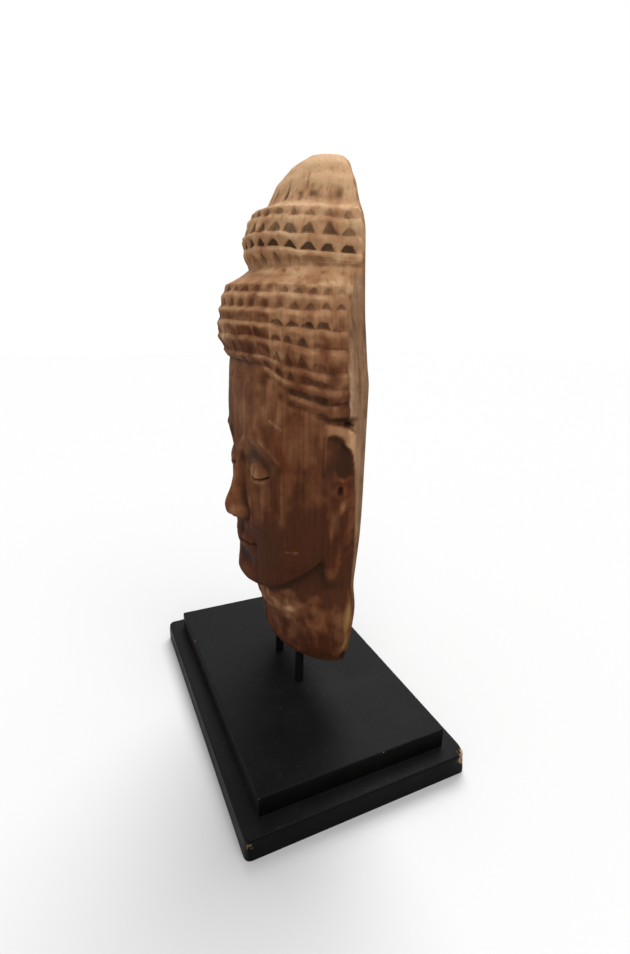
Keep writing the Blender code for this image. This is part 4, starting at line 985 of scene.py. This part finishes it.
def tooled(points, share, h, cover):
    """How far tool marks, cracks, chips and wear move the surface out, in metres."""
    side = np.abs(share)
    hair = ease(*HAIR_EDGE, cover)
    tip = ease(0.905, 0.93, h)
    shelf = ease(0.772, 0.78, h) * ease(0.803, 0.797, h)
    neck = ease(0.17, 0.12, h)
    plank = ease(0.86, 0.90, side)
    facets = scoops(points / np.array(FACETS), 5) - 0.2
    move = -FACET_DEPTH * facets * (0.38 + 0.7 * neck + 0.6 * tip + 0.3 * plank) * (1 - 0.8 * hair)
    broad = noise_in(points, BROAD, 9, 2)
    move += BROAD_DEPTH * broad * (0.35 + 1.2 * tip + 0.8 * neck + 0.5 * shelf) * (1 - 0.6 * hair)
    fine = noise_in(points, FINE, 15, 2)
    move += fine * (0.00012 + 0.00030 * tip + 0.00016 * plank + 0.00034 * hair + 0.00012 * neck)
    move += 0.00035 * hair * noise_in(points, (0.006, 0.006, 0.0045), 17, 2)
    move += 0.00022 * hair * noise_in(points, 0.0027, 19)
    for at, low, high, depth, width in CRACKS:
        wander = 0.004 * ripple(h * 22, 0, at * 30, 21, 2)
        length = (share - at - wander) * CRACK_ROUND
        ends = unit((h - low) / 0.03) * unit((high - h) / 0.05)
        move -= depth * line(length, width) * ends
    for at, level, half_across, half_high, depth, _ in NICKS:
        move -= depth * dome((share - at) / half_across, (h - level) / half_high) ** 0.6
    corner = ease(0.955, 1.0, side) * (0.6 + 0.8 * noise_in(points, 0.013, 27, 2))
    move -= CORNER_WEAR * unit(corner) * ease(0.0, 0.02, h)
    foot = ease(0.030, 0.0, h) * (0.55 + 0.9 * noise_in(points, 0.015, 31, 2))
    move -= CORNER_WEAR * unit(foot)
    return move * ease(1.0, 0.995, h)


def blurred(values, reach_rows, reach_columns):
    """A box blur of a grid, done twice."""
    for _ in range(2):
        for axis, half in ((0, reach_rows), (1, reach_columns)):
            pad = [(half + 1, half) if a == axis else (0, 0) for a in (0, 1)]
            total = np.cumsum(np.pad(values, pad, mode="edge"), axis=axis)
            size = values.shape[axis]
            upper = np.take(total, np.arange(2 * half + 1, 2 * half + 1 + size), axis=axis)
            lower = np.take(total, np.arange(0, size), axis=axis)
            values = (upper - lower) / (2 * half + 1)
    return values


def finish_layers(points, angle, share, h, distance, cover, cut_shade, facet_shade, ridge):
    """What the wood's material reads at each point, from 0 to 1 or a little more: tone, from pale worn wood
    to dark brown, with painted light from above and painted shade on leaning facets and along the jaw;
    grime and painted shade in the cuts, hollows and notches and under faces that lean down; worn edges with
    a painted highlight along the curls' ledges; the plank's bare side; and fresh yellow wood."""
    side = np.abs(share)
    hair = ease(*HAIR_EDGE, cover)
    average = blurred(distance, 4, 4)
    # Darker in the cuts, with grime and painted shade; paler on worn proud edges, and along the curls'
    # ledges with a painted highlight
    dirt_and_shade = unit((average - distance) / 0.0020) * (1 - 0.72 * hair)
    rubbed_and_highlight = unit((distance - average) / 0.0016) * (1 - 0.45 * hair) + 0.9 * ridge
    # Painted shade on faces that lean down, under the curls and the jaw
    slope = np.gradient(distance, axis=0) / np.maximum(np.gradient(h * HEAD_HEIGHT, axis=0), 1e-6)
    dirt_and_shade = (dirt_and_shade + 0.35 * np.clip(slope, 0, 1.2) * (1 - 0.5 * hair)) * ease(0.985, 0.95, h)
    # Less of it at the topknot's foot, and the painted shade of the notches and grooves added
    dirt_and_shade = dirt_and_shade * (1 - 0.8 * ease(0.780, 0.792, h) * ease(0.825, 0.812, h)) + 0.98 * cut_shade
    # The tone by height, with its painted light from above, and the painted shade on the curls' leaning
    # facets
    tone = through(TONES, h) + 0.26 * facet_shade
    forward = AXIS_FROM_BACK + distance * np.cos(angle) / HEAD_DEPTH
    top, rim = through(EAR_TOP_EDGE, forward), through(EAR_HOLLOW_EDGE, forward)
    ear_edge = ease(top + 0.004, top - 0.002, h) * ease(rim - 0.003, rim + 0.004, h)
    ear_edge = ear_edge * ease(0.42, 0.29, forward) * ease(0.055, 0.085, forward) * ease(0.44, 0.46, h)
    tone = tone - ear_edge * (0.38 + 0.24 * ease(0.20, 0.12, forward))
    # Painted shade, with some grime, in the ear's hollow and its deep hole
    hollow = ease(rim + 0.002, rim - 0.008, h) * ease(0.430, 0.455, h) * ease(0.340, 0.322, forward)
    hollow = hollow * ease(0.085, 0.115, forward)
    deep = dome((forward - DEEP_HOLLOW[0]) / 0.085, (h - DEEP_HOLLOW[1]) / 0.034) ** 0.5
    dirt_and_shade = dirt_and_shade + 0.30 * hollow + 0.75 * deep
    sway = 0.012 * noise_in(points, (0.016, 0.016, 0.034), 49, 2)
    for at, level, half_across, half_high, change in PATCHES:
        tone = tone + change * dome((share + sway - at) / half_across, (h + 0.5 * sway - level) / half_high)
    mottle = noise_in(points, (0.011, 0.011, 0.022), 41, 3)
    tone += 0.20 * mottle * (1 + 0.6 * ease(0.2, 0.1, h)) + 0.13 * noise_in(points, 0.0050, 43, 2)
    tone += 0.20 * hair * noise_in(points, (0.008, 0.008, 0.005), 63, 3)
    # Painted shade in a band where the jaw turns under, and less of the paler worn edge along it
    above_jaw = h - through(JAW, side)
    tone += 0.46 * line(above_jaw - 0.016, 0.022) * ease(0.86, 0.74, side)
    rubbed_and_highlight = rubbed_and_highlight * (1 - 0.85 * line(above_jaw, 0.016))
    patchy = np.clip(0.70 + 1.1 * noise_in(points, (0.004, 0.004, 0.007), 47, 2), 0, 1.2)
    for at, level, half_across, half_high, _, dark in NICKS:
        hit = dark * patchy * dome((share - at) / half_across, (h - level) / half_high) ** 0.6
        tone, dirt_and_shade = tone + 0.85 * hit, dirt_and_shade + 0.40 * hit
    edge = through(BARE_SIDE, h) + 0.012 * noise_in(points, (0.010, 0.010, 0.016), 45, 2)
    bare = ease(edge + 0.012, edge - 0.004, forward) * ease(0.13, 0.20, h) * ease(0.80, 0.775, h)
    bare = bare * (1 - 0.25 * ease(0.50, 0.25, h))
    # Painted shade along the step at the front of the plank's bare side
    dark_edge = 0.30 * line(forward - edge - 0.016, 0.010) * ease(0.50, 0.55, h) * ease(0.78, 0.74, h)
    fresh = dome((share - 0.957) / 0.030, (h - 0.125) / 0.060)
    fresh += 0.8 * dome((share - 0.975) / 0.035, (h - 0.055) / 0.045)
    broken = unit(0.7 + noise_in(points, 0.004, 46, 2))
    for at, level, to, to_level, half_across in SCRATCHES:
        t = unit((share - at) / (to - at))
        aside = (share - at - t * (to - at)) * SCRATCH_ROUND
        above = (h - level - t * (to_level - level)) * HEAD_HEIGHT
        rubbed_and_highlight = rubbed_and_highlight + 2.6 * line(np.hypot(aside, above), half_across) * broken
    knot = 1.2 * dome((share - 0.975) / 0.034, (h - 0.014) / 0.020) ** 0.4
    dirt_and_shade = dirt_and_shade + dark_edge + knot
    return tuple(np.clip(layer, 0, 1.2) for layer in (tone, dirt_and_shade, 0.4 * rubbed_and_highlight, bare, fresh))


# Meshes

def grid_faces(index, along=True):
    """Two triangles for each cell, split as along says."""
    a, b, c, d = index[:-1, :-1], index[:-1, 1:], index[1:, 1:], index[1:, :-1]
    along = np.broadcast_to(along, a.shape)[..., None]
    first = np.where(along, np.stack([a, b, c], -1), np.stack([a, b, d], -1))
    second = np.where(along, np.stack([a, c, d], -1), np.stack([b, c, d], -1))
    return np.concatenate([first.reshape(-1, 3), second.reshape(-1, 3)])


def zipped(low, high):
    """Triangles between two chains of (place, vertex), whichever is behind stepping on."""
    faces, i, j = [], 0, 0
    while i < len(low) - 1 or j < len(high) - 1:
        if j == len(high) - 1 or (i < len(low) - 1 and low[i + 1][0] <= high[j + 1][0]):
            faces.append((low[i][1], low[i + 1][1], high[j][1]))
            i += 1
        else:
            faces.append((low[i][1], high[j + 1][1], high[j][1]))
            j += 1
    return np.array(faces)


def in_scene(name, data):
    """A new object with this data."""
    made = bpy.data.objects.new(name, data)
    bpy.context.scene.collection.objects.link(made)
    return made


def built(name, points, faces, layers, finish, sharp_degrees):
    """A mesh object with these points, faces and named point layers."""
    mesh = bpy.data.meshes.new(name)
    mesh.vertices.add(len(points))
    mesh.vertices.foreach_set("co", np.asarray(points, np.float32).ravel())
    sizes = np.array([len(face) for face in faces])
    mesh.loops.add(int(sizes.sum()))
    mesh.loops.foreach_set("vertex_index", np.concatenate([np.asarray(f) for f in faces]).astype(np.int32))
    mesh.polygons.add(len(faces))
    mesh.polygons.foreach_set("loop_start", np.concatenate([[0], np.cumsum(sizes)[:-1]]).astype(np.int32))
    mesh.update(calc_edges=True)
    mesh.validate()
    for layer, values in layers.items():
        kept = mesh.attributes.new(layer, "FLOAT", "POINT")
        kept.data.foreach_set("value", np.asarray(values, np.float32))
    mesh.shade_smooth()
    mesh.set_sharp_from_angle(angle=math.radians(sharp_degrees))
    mesh.materials.append(finish)
    return in_scene(name, mesh)


def dense_head(finish):
    """The whole head as one closed mesh."""
    table = angle_table()
    points, layers, faces, index, shares = [], [], [], [], []

    def add(more_points, more_layers, more_faces):
        """Adds a part to the mesh."""
        points.append(more_points)
        layers.append(more_layers)
        faces.append(more_faces)

    for share, h, distance, curls, along in (below_grid(table), hair_grid(table), topknot_grid(table)):
        angle = angle_at(table, share, h)
        distance = distance + tooled(placed(angle, distance, h), share, h, curls[0])
        grid = placed(angle, distance, h)
        made = finish_layers(grid, angle, share, h, distance, *curls)
        index.append(sum(map(len, points)) + np.arange(share.size).reshape(share.shape))
        shares.append(share)
        add(grid.reshape(-1, 3), np.stack(made, -1).reshape(-1, len(LAYERS)), grid_faces(index[-1], along))
    for low in (0, 1):
        chain_low = list(zip(shares[low][-1], index[low][-1]))
        chain_high = list(zip(shares[low + 1][0], index[low + 1][0]))
        faces.append(zipped(chain_low, chain_high))
    right = np.concatenate([part[:, 0] for part in index])
    left = np.concatenate([part[:, -1] for part in index])
    back, back_points, back_layers = sawn_back(np.concatenate(points), left, right)
    add(back_points, back_layers, grid_faces(back))
    foot, tip = np.concatenate([index[0][0], back[0, 1:-1]]), np.concatenate([index[2][-1], back[-1, 1:-1]])
    add(*end_cap(np.concatenate(points), foot, True))
    add(*end_cap(np.concatenate(points), tip, False))
    layers = dict(zip(LAYERS, np.concatenate(layers).T))
    points, faces = np.concatenate(points), np.concatenate(faces)
    return built("carved_head_finish", points, faces, layers, finish, HEAD_SHARP)


def sawn_back(points, left, right):
    """The flat back between the two rear corners: rough-sawn, with saw marks that only go inwards."""
    t = np.linspace(0, 1, BACK_COLUMNS + 1)[1:-1]
    a, b = points[left][:, None], points[right][:, None]
    grid = a + (b - a) * t[None, :, None]
    across, high = grid[..., 0], grid[..., 2]
    sway = 2.2 * noise_in(grid, (0.09, 0.09, 0.03), 51, 2)
    marks = 0.5 + 0.5 * np.sin((high + 0.16 * across) * 2 * np.pi / SAW_PITCH + sway)
    marks = marks * unit(0.25 + 1.3 * noise_in(grid, (0.06, 0.06, 0.025), 52, 2))
    rough = 0.5 + 0.5 * noise_in(grid, (0.016, 0.016, 0.030), 53, 2)
    split = line(across - 0.021 - 0.004 * np.sin(high * 31), 0.0012)
    split = split * ease(0.19, 0.24, high) * ease(0.40, 0.36, high)
    grid[..., 1] -= 0.00040 * marks + 0.00060 * rough + 0.0020 * split
    grey = np.full(high.shape, 0.75)
    fresh = unit(0.25 * noise_in(grid, 0.03, 55, 2))
    dirt_and_shade = unit(0.26 * marks + 0.30 * rough + split) * 0.7
    tone = unit(0.52 + 0.15 * noise_in(grid, (0.02, 0.02, 0.07), 57, 3))
    layers = np.stack([tone, dirt_and_shade, 0 * tone, grey, fresh], -1).reshape(-1, len(LAYERS))
    inner = len(points) + np.arange(high.size).reshape(high.shape)
    index = np.concatenate([left[:, None], inner, right[:, None]], 1)
    return index, grid.reshape(-1, 3), layers


def end_cap(points, ring, turned):
    """Rings that close the foot (turned) or the tip, chopped a little uneven, inwards only, round one middle
    point."""
    edge = points[ring]
    middle = edge.mean(0)
    inwards = 1.0 if turned else -1.0
    deepest, tone, dirt_and_shade = FOOT_CUT if turned else TIP_CUT
    made, faces, before = [], [], np.asarray(ring)
    for k in range(1, END_RINGS):
        grid = edge + (middle - edge) * k / END_RINGS
        rough = 0.5 + 0.5 * noise_in(grid, 0.011, 61, 2)
        grid[:, 2] += inwards * deepest * rough * min(1.0, k / 2)
        now = len(points) + len(made) * len(ring) + np.arange(len(ring))
        made.append(grid)
        nexts, here = np.roll(before, -1), np.roll(now, -1)
        faces += [np.stack([before, nexts, here], -1), np.stack([before, here, now], -1)]
        before = now
    centre = len(points) + len(made) * len(ring)
    faces.append(np.stack([before, np.roll(before, -1), np.full(len(ring), centre)], -1))
    faces = np.concatenate(faces)
    if turned:
        faces = faces[:, ::-1]
    last = made[-1].mean(0)[None]
    points = np.concatenate([np.concatenate(made), last])
    layers = np.repeat([[tone, dirt_and_shade, 0.0, 0.0, 0.0]], len(points), 0)
    return points, layers, faces


def worn_board(name, corner_radius, holes, finish):
    """A plinth board on its node's box: rounded corners and edges, nicked and chipped, with holes for the
    rods."""
    low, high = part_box(name)
    half = np.array([high.x - low.x, high.y - low.y]) / 2
    thickness = high.z - low.z
    eased = np.linspace(0, np.pi / 2, EDGE_STEPS + 1)[1:]
    upright = thickness - EDGE_ROUND
    profile = [(z, 0.0) for z in np.linspace(0, upright, math.ceil(upright / SIDE_STEP))]
    profile += [(thickness - EDGE_ROUND * (1 - math.sin(a)), EDGE_ROUND * (1 - math.cos(a))) for a in eased]
    profile += [(thickness, inset) for inset in TOP_INSETS]
    _, outward = rounded_rectangle(half, corner_radius, half)
    rings, missing = [], []
    for z, inset in profile:
        flat, _ = rounded_rectangle(half - inset, max(corner_radius - inset, LEAST_CORNER), half)
        ring = np.concatenate([flat, np.full((len(flat), 1), z)], 1)
        near_edge = line(thickness - z, WEAR_DOWN) * line(inset, WEAR_IN)
        nick = unit(noise_in(ring, NICK_SIZE, 71, 3) - 0.15) * near_edge
        rub = unit(0.30 + 0.9 * noise_in(ring, RUB_SIZE, 73, 3)) * near_edge
        depth, lost = NICK_DEPTH * nick, 0.5 * rub + 0.5 * nick
        for x, y, level, radius, deep, bare in CHIPS[name]:
            place = np.array([x * half[0], y * half[1], level * thickness])
            away = np.linalg.norm((ring - place) / radius, axis=1)
            away = away + 0.22 * noise_in(ring, 0.004, 75, 2)
            depth = depth + deep * unit(1 - away)
            lost = np.maximum(lost, bare * 1.4 * unit(1.15 - away))
        ring[:, :2] -= outward * depth[:, None] * 0.8
        ring[:, 2] -= np.where(z > thickness * 0.6, depth * 0.7, 0)
        rings.append(ring)
        missing.append(unit(lost) if inset < TOP_INSETS[-1] else 0 * lost)
    grid = np.array(rings)
    grid += np.array([(high.x + low.x) / 2, (high.y + low.y) / 2, low.z])
    rows, count = grid.shape[:2]
    index = np.arange(rows * count).reshape(rows, count)
    wrapped = np.concatenate([index, index[:, :1]], 1)
    faces = [tuple(f) for f in grid_faces(wrapped)]
    faces += [tuple(index[0][::-1]), tuple(index[-1])]
    layers = {"lost": np.concatenate(missing)}
    made = built(name + "_finish", grid.reshape(-1, 3), faces, layers, finish, BOARD_SHARP)
    for x, y, radius, bottom in holes:
        pierce(made, x, y, radius, bottom, high.z + 0.01)
    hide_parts(name)
    return made


def rounded_rectangle(half, radius, spaced_as):
    """Points round a rectangle with round corners, and the way out at each. Their number goes by the
    half-sizes in spaced_as, so that rings of different sizes match."""
    points, outward = [], []
    corners = ((1, -1, -90), (1, 1, 0), (-1, 1, 90), (-1, -1, 180))
    for k, (sx, sy, first) in enumerate(corners):
        middle = np.array([sx * (half[0] - radius), sy * (half[1] - radius)])
        for a in np.radians(first + np.linspace(0, 90, CORNER_STEPS + 1)):
            outward.append((math.cos(a), math.sin(a)))
            points.append(middle + radius * np.array(outward[-1]))
        nx, ny, _ = corners[(k + 1) % 4]
        end = np.array([nx * (half[0] - radius), ny * (half[1] - radius)]) + radius * np.array(outward[-1])
        steps = math.ceil(2 * (spaced_as[1] if k % 2 == 0 else spaced_as[0]) / BOARD_STEP)
        begin = points[-1]
        for t in np.arange(1, steps) / steps:
            points.append(begin + (end - begin) * t)
            outward.append(outward[-1])
    return np.array(points), np.array(outward)


def pierce(target, x, y, radius, low, high):
    """Cuts a round hole and applies it."""
    cutter = cylinder("cutter", x, y, radius, low, high)
    made = target.modifiers.new("hole", "BOOLEAN")
    made.operation = "DIFFERENCE"
    made.object = cutter
    graph = bpy.context.evaluated_depsgraph_get()
    mesh = bpy.data.meshes.new_from_object(target.evaluated_get(graph))
    mesh.set_sharp_from_angle(angle=math.radians(BOARD_SHARP))
    target.modifiers.clear()
    target.data = mesh
    bpy.data.objects.remove(cutter)


def cylinder(name, x, y, radius, low, high):
    """An upright round bar between two heights."""
    shape = bmesh.new()
    bmesh.ops.create_cone(
        shape, cap_ends=True, segments=ROD_SIDES, radius1=radius, radius2=radius, depth=high - low,
    )
    bmesh.ops.translate(shape, vec=(x, y, (low + high) / 2), verts=shape.verts)
    mesh = bpy.data.meshes.new(name)
    shape.to_mesh(mesh)
    shape.free()
    mesh.shade_smooth()
    mesh.set_sharp_from_angle(angle=math.radians(ROD_SHARP))
    return in_scene(name, mesh)


def upright_place(side):
    """A rod's middle, radius, foot and top, from its node's box."""
    low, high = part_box("rod_" + side)
    return (low.x + high.x) / 2, (low.y + high.y) / 2, (high.x - low.x) / 2, low.z, high.z


def rod(side, finish):
    """A round rod on its node's box, with its ends eased."""
    made = cylinder("rod_" + side + "_finish", *upright_place(side))
    made.data.materials.append(finish)
    eased = made.modifiers.new("eased ends", "BEVEL")
    eased.width = ROD_EASE
    eased.segments = 2
    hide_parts("rod_" + side)
    return made


# Materials

def new(tree, kind, inputs=None, **settings):
    """A shader node with these settings and input values."""
    made = tree.nodes.new(kind)
    for name, value in settings.items():
        setattr(made, name, value)
    for name, value in (inputs or {}).items():
        if isinstance(value, bpy.types.NodeSocket):
            tree.links.new(value, made.inputs[name])
        else:
            made.inputs[name].default_value = value
    return made


def value_of(tree, operation, *values):
    """The result of a math node on numbers or sockets."""
    made = new(tree, "ShaderNodeMath", dict(enumerate(values)), operation=operation)
    return made.outputs[0]


def mixed(tree, share, first, second, blend="MIX"):
    """The colour of a mix node."""
    made = tree.nodes.new("ShaderNodeMix")
    made.data_type = "RGBA"
    made.blend_type = blend
    for number, value in ((0, share), (6, first), (7, second)):
        if isinstance(value, bpy.types.NodeSocket):
            tree.links.new(value, made.inputs[number])
        else:
            made.inputs[number].default_value = value if number == 0 else (*value, 1.0)
    return made.outputs[2]


def ramp(tree, share, stops):
    """A colour ramp through (place, colour) stops."""
    made = new(tree, "ShaderNodeValToRGB", {"Fac": share})
    elements = made.color_ramp.elements
    while len(elements) < len(stops):
        elements.new(0.5)
    for element, (place, colour) in zip(elements, stops):
        element.position = place
        element.color = (*colour, 1.0)
    return made.outputs["Color"]


def ranged(tree, value, low, high, to_low=0.0, to_high=1.0):
    """A value's place between low and high, and not past them, on a scale from to_low to to_high."""
    return new(tree, "ShaderNodeMapRange", {
        "Value": value, "From Min": low, "From Max": high, "To Min": to_low, "To Max": to_high,
    }).outputs[0]


def varied(tree, value, by, amount):
    """A value made uneven by a noise, which is about 0.5 on average."""
    return value_of(tree, "MULTIPLY_ADD", value_of(tree, "SUBTRACT", by, 0.5), amount, value)


def clouds(tree, place, scale, detail, roughness=0.5, distortion=0.0):
    """Noise that is the same every way."""
    return new(tree, "ShaderNodeTexNoise", {
        "Vector": place, "Scale": scale, "Detail": detail, "Roughness": roughness, "Distortion": distortion,
    }).outputs["Fac"]


def grain(tree, place, scale, stretch, detail=4.0, distortion=0.0, offset=(0, 0, 0)):
    """Noise stretched along Z, as wood grain is."""
    mapped = new(tree, "ShaderNodeMapping", {"Vector": place, "Scale": (1, 1, stretch), "Location": offset})
    return clouds(tree, mapped.outputs[0], scale, detail, 0.6, distortion)


def point_layer(tree, name):
    """One of the mesh's point layers."""
    return new(tree, "ShaderNodeAttribute", attribute_name=name).outputs["Fac"]


def empty_material(name):
    """A new material, its node tree and its shader."""
    made = bpy.data.materials.new(name)
    made.use_nodes = True
    tree = made.node_tree
    tree.nodes.clear()
    shader = new(tree, "ShaderNodeBsdfPrincipled")
    output = new(tree, "ShaderNodeOutputMaterial")
    tree.links.new(shader.outputs[0], output.inputs["Surface"])
    return made, tree, shader


def place_on(tree):
    """The place on the object that its patterns go by."""
    return new(tree, "ShaderNodeTexCoord").outputs["Object"]


def finished(tree, shader, colour, roughness, specular, height, strength, depth):
    """Gives a shader its colour, its roughness, its shine and a bump as deep as this where height is 1."""
    bump = new(tree, "ShaderNodeBump", {"Strength": strength, "Distance": depth, "Height": height})
    for name, value in (("Base Color", colour), ("Roughness", roughness), ("Normal", bump.outputs[0])):
        tree.links.new(value, shader.inputs[name])
    shader.inputs["Specular IOR Level"].default_value = specular


def weathered_wood():
    """Old carved wood: pale where it is worn, dark red-brown where it was handled and oiled, with grime in
    the cuts. Painted into its colour are light from above, a highlight along the curls' ledges, and shade in
    the cuts, hollows and notches, on leaning facets, along the jaw and under faces that lean down."""
    made, tree, shader = empty_material("weathered carved wood")
    place = place_on(tree)
    fine = grain(tree, place, 420.0, 0.05, 5.0)
    streaks = grain(tree, place, 130.0, 0.045, 5.0, 0.3, (3.1, 0.4, 0.0))
    broad = grain(tree, place, 42.0, 0.10, 4.0, 0.6, (0.0, 5.2, 1.0))
    blotches = grain(tree, place, 30.0, 0.6, 5.0, 0.0, (7.0, 0.0, 2.0))
    tone = point_layer(tree, "tone")
    for by, amount in ((streaks, 0.16), (broad, 0.24), (blotches, 0.74)):
        tone = varied(tree, tone, by, amount)
    # Paler where worn, and along the curls' ledges where a highlight is painted
    tone = value_of(tree, "MULTIPLY_ADD", point_layer(tree, "rubbed_and_highlight"), -0.55, tone)
    colour = ramp(tree, tone, WOOD_TONES)
    ruddy = ranged(tree, grain(tree, place, 55.0, 0.5, 4.0, 0.0, (2.0, 9.0, 4.0)), 0.50, 0.68)
    ruddy = value_of(tree, "MULTIPLY", ruddy, ranged(tree, tone, 0.55, 0.85))
    colour = mixed(tree, ruddy, colour, mixed(tree, 1.0, colour, RUDDY_TINT, "MULTIPLY"))
    plank = ramp(tree, varied(tree, streaks, blotches, 0.9), SIDE_WOOD)
    colour = mixed(tree, point_layer(tree, "grey"), colour, plank)
    colour = mixed(tree, point_layer(tree, "fresh"), colour, FRESH_WOOD)
    colour = mixed(tree, 0.55, colour, ramp(tree, fine, PORES), "MULTIPLY")
    # Grime and painted shade in the cuts, hollows and notches and under faces that lean down
    dirt_and_shade = ranged(tree, varied(tree, point_layer(tree, "dirt_and_shade"), blotches, 0.5), 0.12, 0.95, 0.0, 0.86)
    colour = mixed(tree, dirt_and_shade, colour, GRIME_AND_SHADE)
    rough = ranged(tree, broad, 0.0, 1.0, 0.66, 0.88)
    height = value_of(tree, "MULTIPLY_ADD", streaks, 1.4, fine)
    finished(tree, shader, colour, rough, 0.12, height, 0.40, 0.0006)
    return made


def black_paint():
    """Satin black paint on wood, dusty, worn to bare wood where the layer says so. The upright sides are
    darkened with painted shade, and the front one is made paler than the tops with painted light."""
    made, tree, shader = empty_material("worn black paint")
    place = place_on(tree)
    cloud = clouds(tree, place, 26.0, 6.0, 0.6)
    dust = clouds(tree, place, 240.0, 3.0)
    specks = new(tree, "ShaderNodeTexVoronoi", {"Vector": place, "Scale": 95.0}).outputs["Distance"]
    dusty = ramp(tree, dust, ((0.60, BLACK), (0.78, (0.35, 0.35, 0.35))))
    paint = mixed(tree, dusty, ramp(tree, cloud, PAINT), DUST)
    speck = ramp(tree, specks, ((0.02, (0.7, 0.7, 0.7)), (0.14, BLACK)))
    some = ramp(tree, cloud, ((0.48, BLACK), (0.60, WHITE)))
    paint = mixed(tree, mixed(tree, 1.0, speck, some, "MULTIPLY"), paint, SPECK)
    normal = new(tree, "ShaderNodeNewGeometry").outputs["Normal"]
    facing = new(tree, "ShaderNodeSeparateXYZ", {"Vector": normal}).outputs
    # Painted shade on the upright sides, and painted light on the front one, by the way each face points
    facing_light_and_shade = mixed(tree, ranged(tree, facing["Y"], -0.5, -0.9), SIDE_SHADE_TINT, FRONT_LIGHT_TINT)
    side = mixed(tree, 1.0, paint, facing_light_and_shade, "MULTIPLY")
    paint = mixed(tree, ranged(tree, facing["Z"], 0.5, 0.9), side, paint)
    lost = ranged(tree, varied(tree, point_layer(tree, "lost"), dust, 0.9), 0.60, 0.78)
    colour = mixed(tree, lost, paint, ramp(tree, grain(tree, place, 160.0, 1.0), UNDER_PAINT))
    rough = ranged(tree, cloud, 0.3, 0.7, 0.42, 0.62)
    height = value_of(tree, "MULTIPLY_ADD", dust, 0.6, clouds(tree, place, 900.0, 3.0))
    height = value_of(tree, "MULTIPLY_ADD", lost, -1.2, height)
    finished(tree, shader, colour, rough, 0.05, height, 0.25, 0.0004)
    return made


def black_steel():
    """Thin satin black paint on a steel rod."""
    made, tree, shader = empty_material("black painted rod")
    place = place_on(tree)
    cloud = clouds(tree, place, 180.0, 4.0)
    rough = ranged(tree, cloud, 0.0, 1.0, 0.35, 0.55)
    finished(tree, shader, ramp(tree, cloud, ROD_PAINT), rough, 0.12, cloud, 0.2, 0.0002)
    return made


# Stage

def towards(azimuth, elevation):
    """The way to something at these angles in radians. Azimuth 0 is in front of the face, 90 degrees at its
    left ear."""
    level = math.cos(elevation)
    return Vector((math.sin(azimuth) * level, -math.cos(azimuth) * level, math.sin(elevation)))


def camera():
    """The photograph's camera."""
    azimuth, pitch, roll = (math.radians(a) for a in (CAMERA_AZIMUTH, CAMERA_PITCH, CAMERA_ROLL))
    back = towards(azimuth, pitch)
    level = (-back).cross(Vector((0, 0, 1))).normalized()
    upright = level.cross(-back)
    right = math.cos(roll) * level + math.sin(roll) * upright
    up = -math.sin(roll) * level + math.cos(roll) * upright
    data = bpy.data.cameras.new("camera")
    data.sensor_width = SENSOR_WIDTH
    data.lens = FOCAL_PIXELS / max(IMAGE_SIZE) * SENSOR_WIDTH
    data.clip_start = 0.01
    made = in_scene("camera", data)
    made.matrix_world = Matrix((right, up, back)).transposed().to_4x4()
    made.matrix_world.translation = CAMERA_PLACE
    bpy.context.scene.camera = made


def sun(name, azimuth, elevation, spread, strength):
    """A soft distant light. Spread is its width in degrees, as seen from the head."""
    data = bpy.data.lights.new(name, "SUN")
    data.angle = math.radians(spread)
    data.energy = strength
    made = in_scene(name, data)
    way = towards(math.radians(azimuth), math.radians(elevation))
    made.rotation_euler = way.to_track_quat("Z", "Y").to_euler()


def stage():
    """A plain pale floor and a white surround, with soft light from above and behind the head's right side
    and a fill from its left."""
    shape = bmesh.new()
    bmesh.ops.create_grid(shape, x_segments=1, y_segments=1, size=FLOOR_HALF_SIZE)
    mesh = bpy.data.meshes.new("floor")
    shape.to_mesh(mesh)
    shape.free()
    floor = in_scene("floor", mesh)
    floor.location.z = -FLOOR_DROP
    floor.visible_diffuse = False
    made, _, shader = empty_material("plain pale floor")
    shader.inputs["Base Color"].default_value = (*FLOOR_GREY, 1.0)
    shader.inputs["Roughness"].default_value = 0.9
    shader.inputs["Specular IOR Level"].default_value = 0.1
    mesh.materials.append(made)
    world = bpy.data.worlds.new("soft surround")
    world.use_nodes = True
    tree = world.node_tree
    backdrop = tree.nodes["Background"]
    backdrop.inputs["Color"].default_value = (*WHITE, 1.0)
    seen = new(tree, "ShaderNodeLightPath").outputs["Is Camera Ray"]
    tree.links.new(ranged(tree, seen, 0.0, 1.0, AMBIENT, 1.0), backdrop.inputs["Strength"])
    bpy.context.scene.world = world
    for light in LIGHTS:
        sun(*light)


def main():
    """Builds the stage and the five pieces."""
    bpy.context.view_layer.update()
    bpy.context.scene.view_settings.view_transform = "Standard"
    camera()
    stage()
    head = dense_head(weathered_wood())
    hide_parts("carved_head")
    pieces = [head]
    paint, steel = black_paint(), black_steel()
    holes = []
    for side in ("left", "right"):
        x, y, radius, foot, _ = upright_place(side)
        holes.append((x, y, radius + SOCKET_GAP, foot - SOCKET_GAP))
        pieces.append(rod(side, steel))
    pieces.append(worn_board("plinth_lower_board", LOWER_CORNER_RADIUS, holes, paint))
    pieces.append(worn_board("plinth_upper_board", UPPER_CORNER_RADIUS, holes, paint))
    for piece in pieces:
        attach(piece, "root")


main()
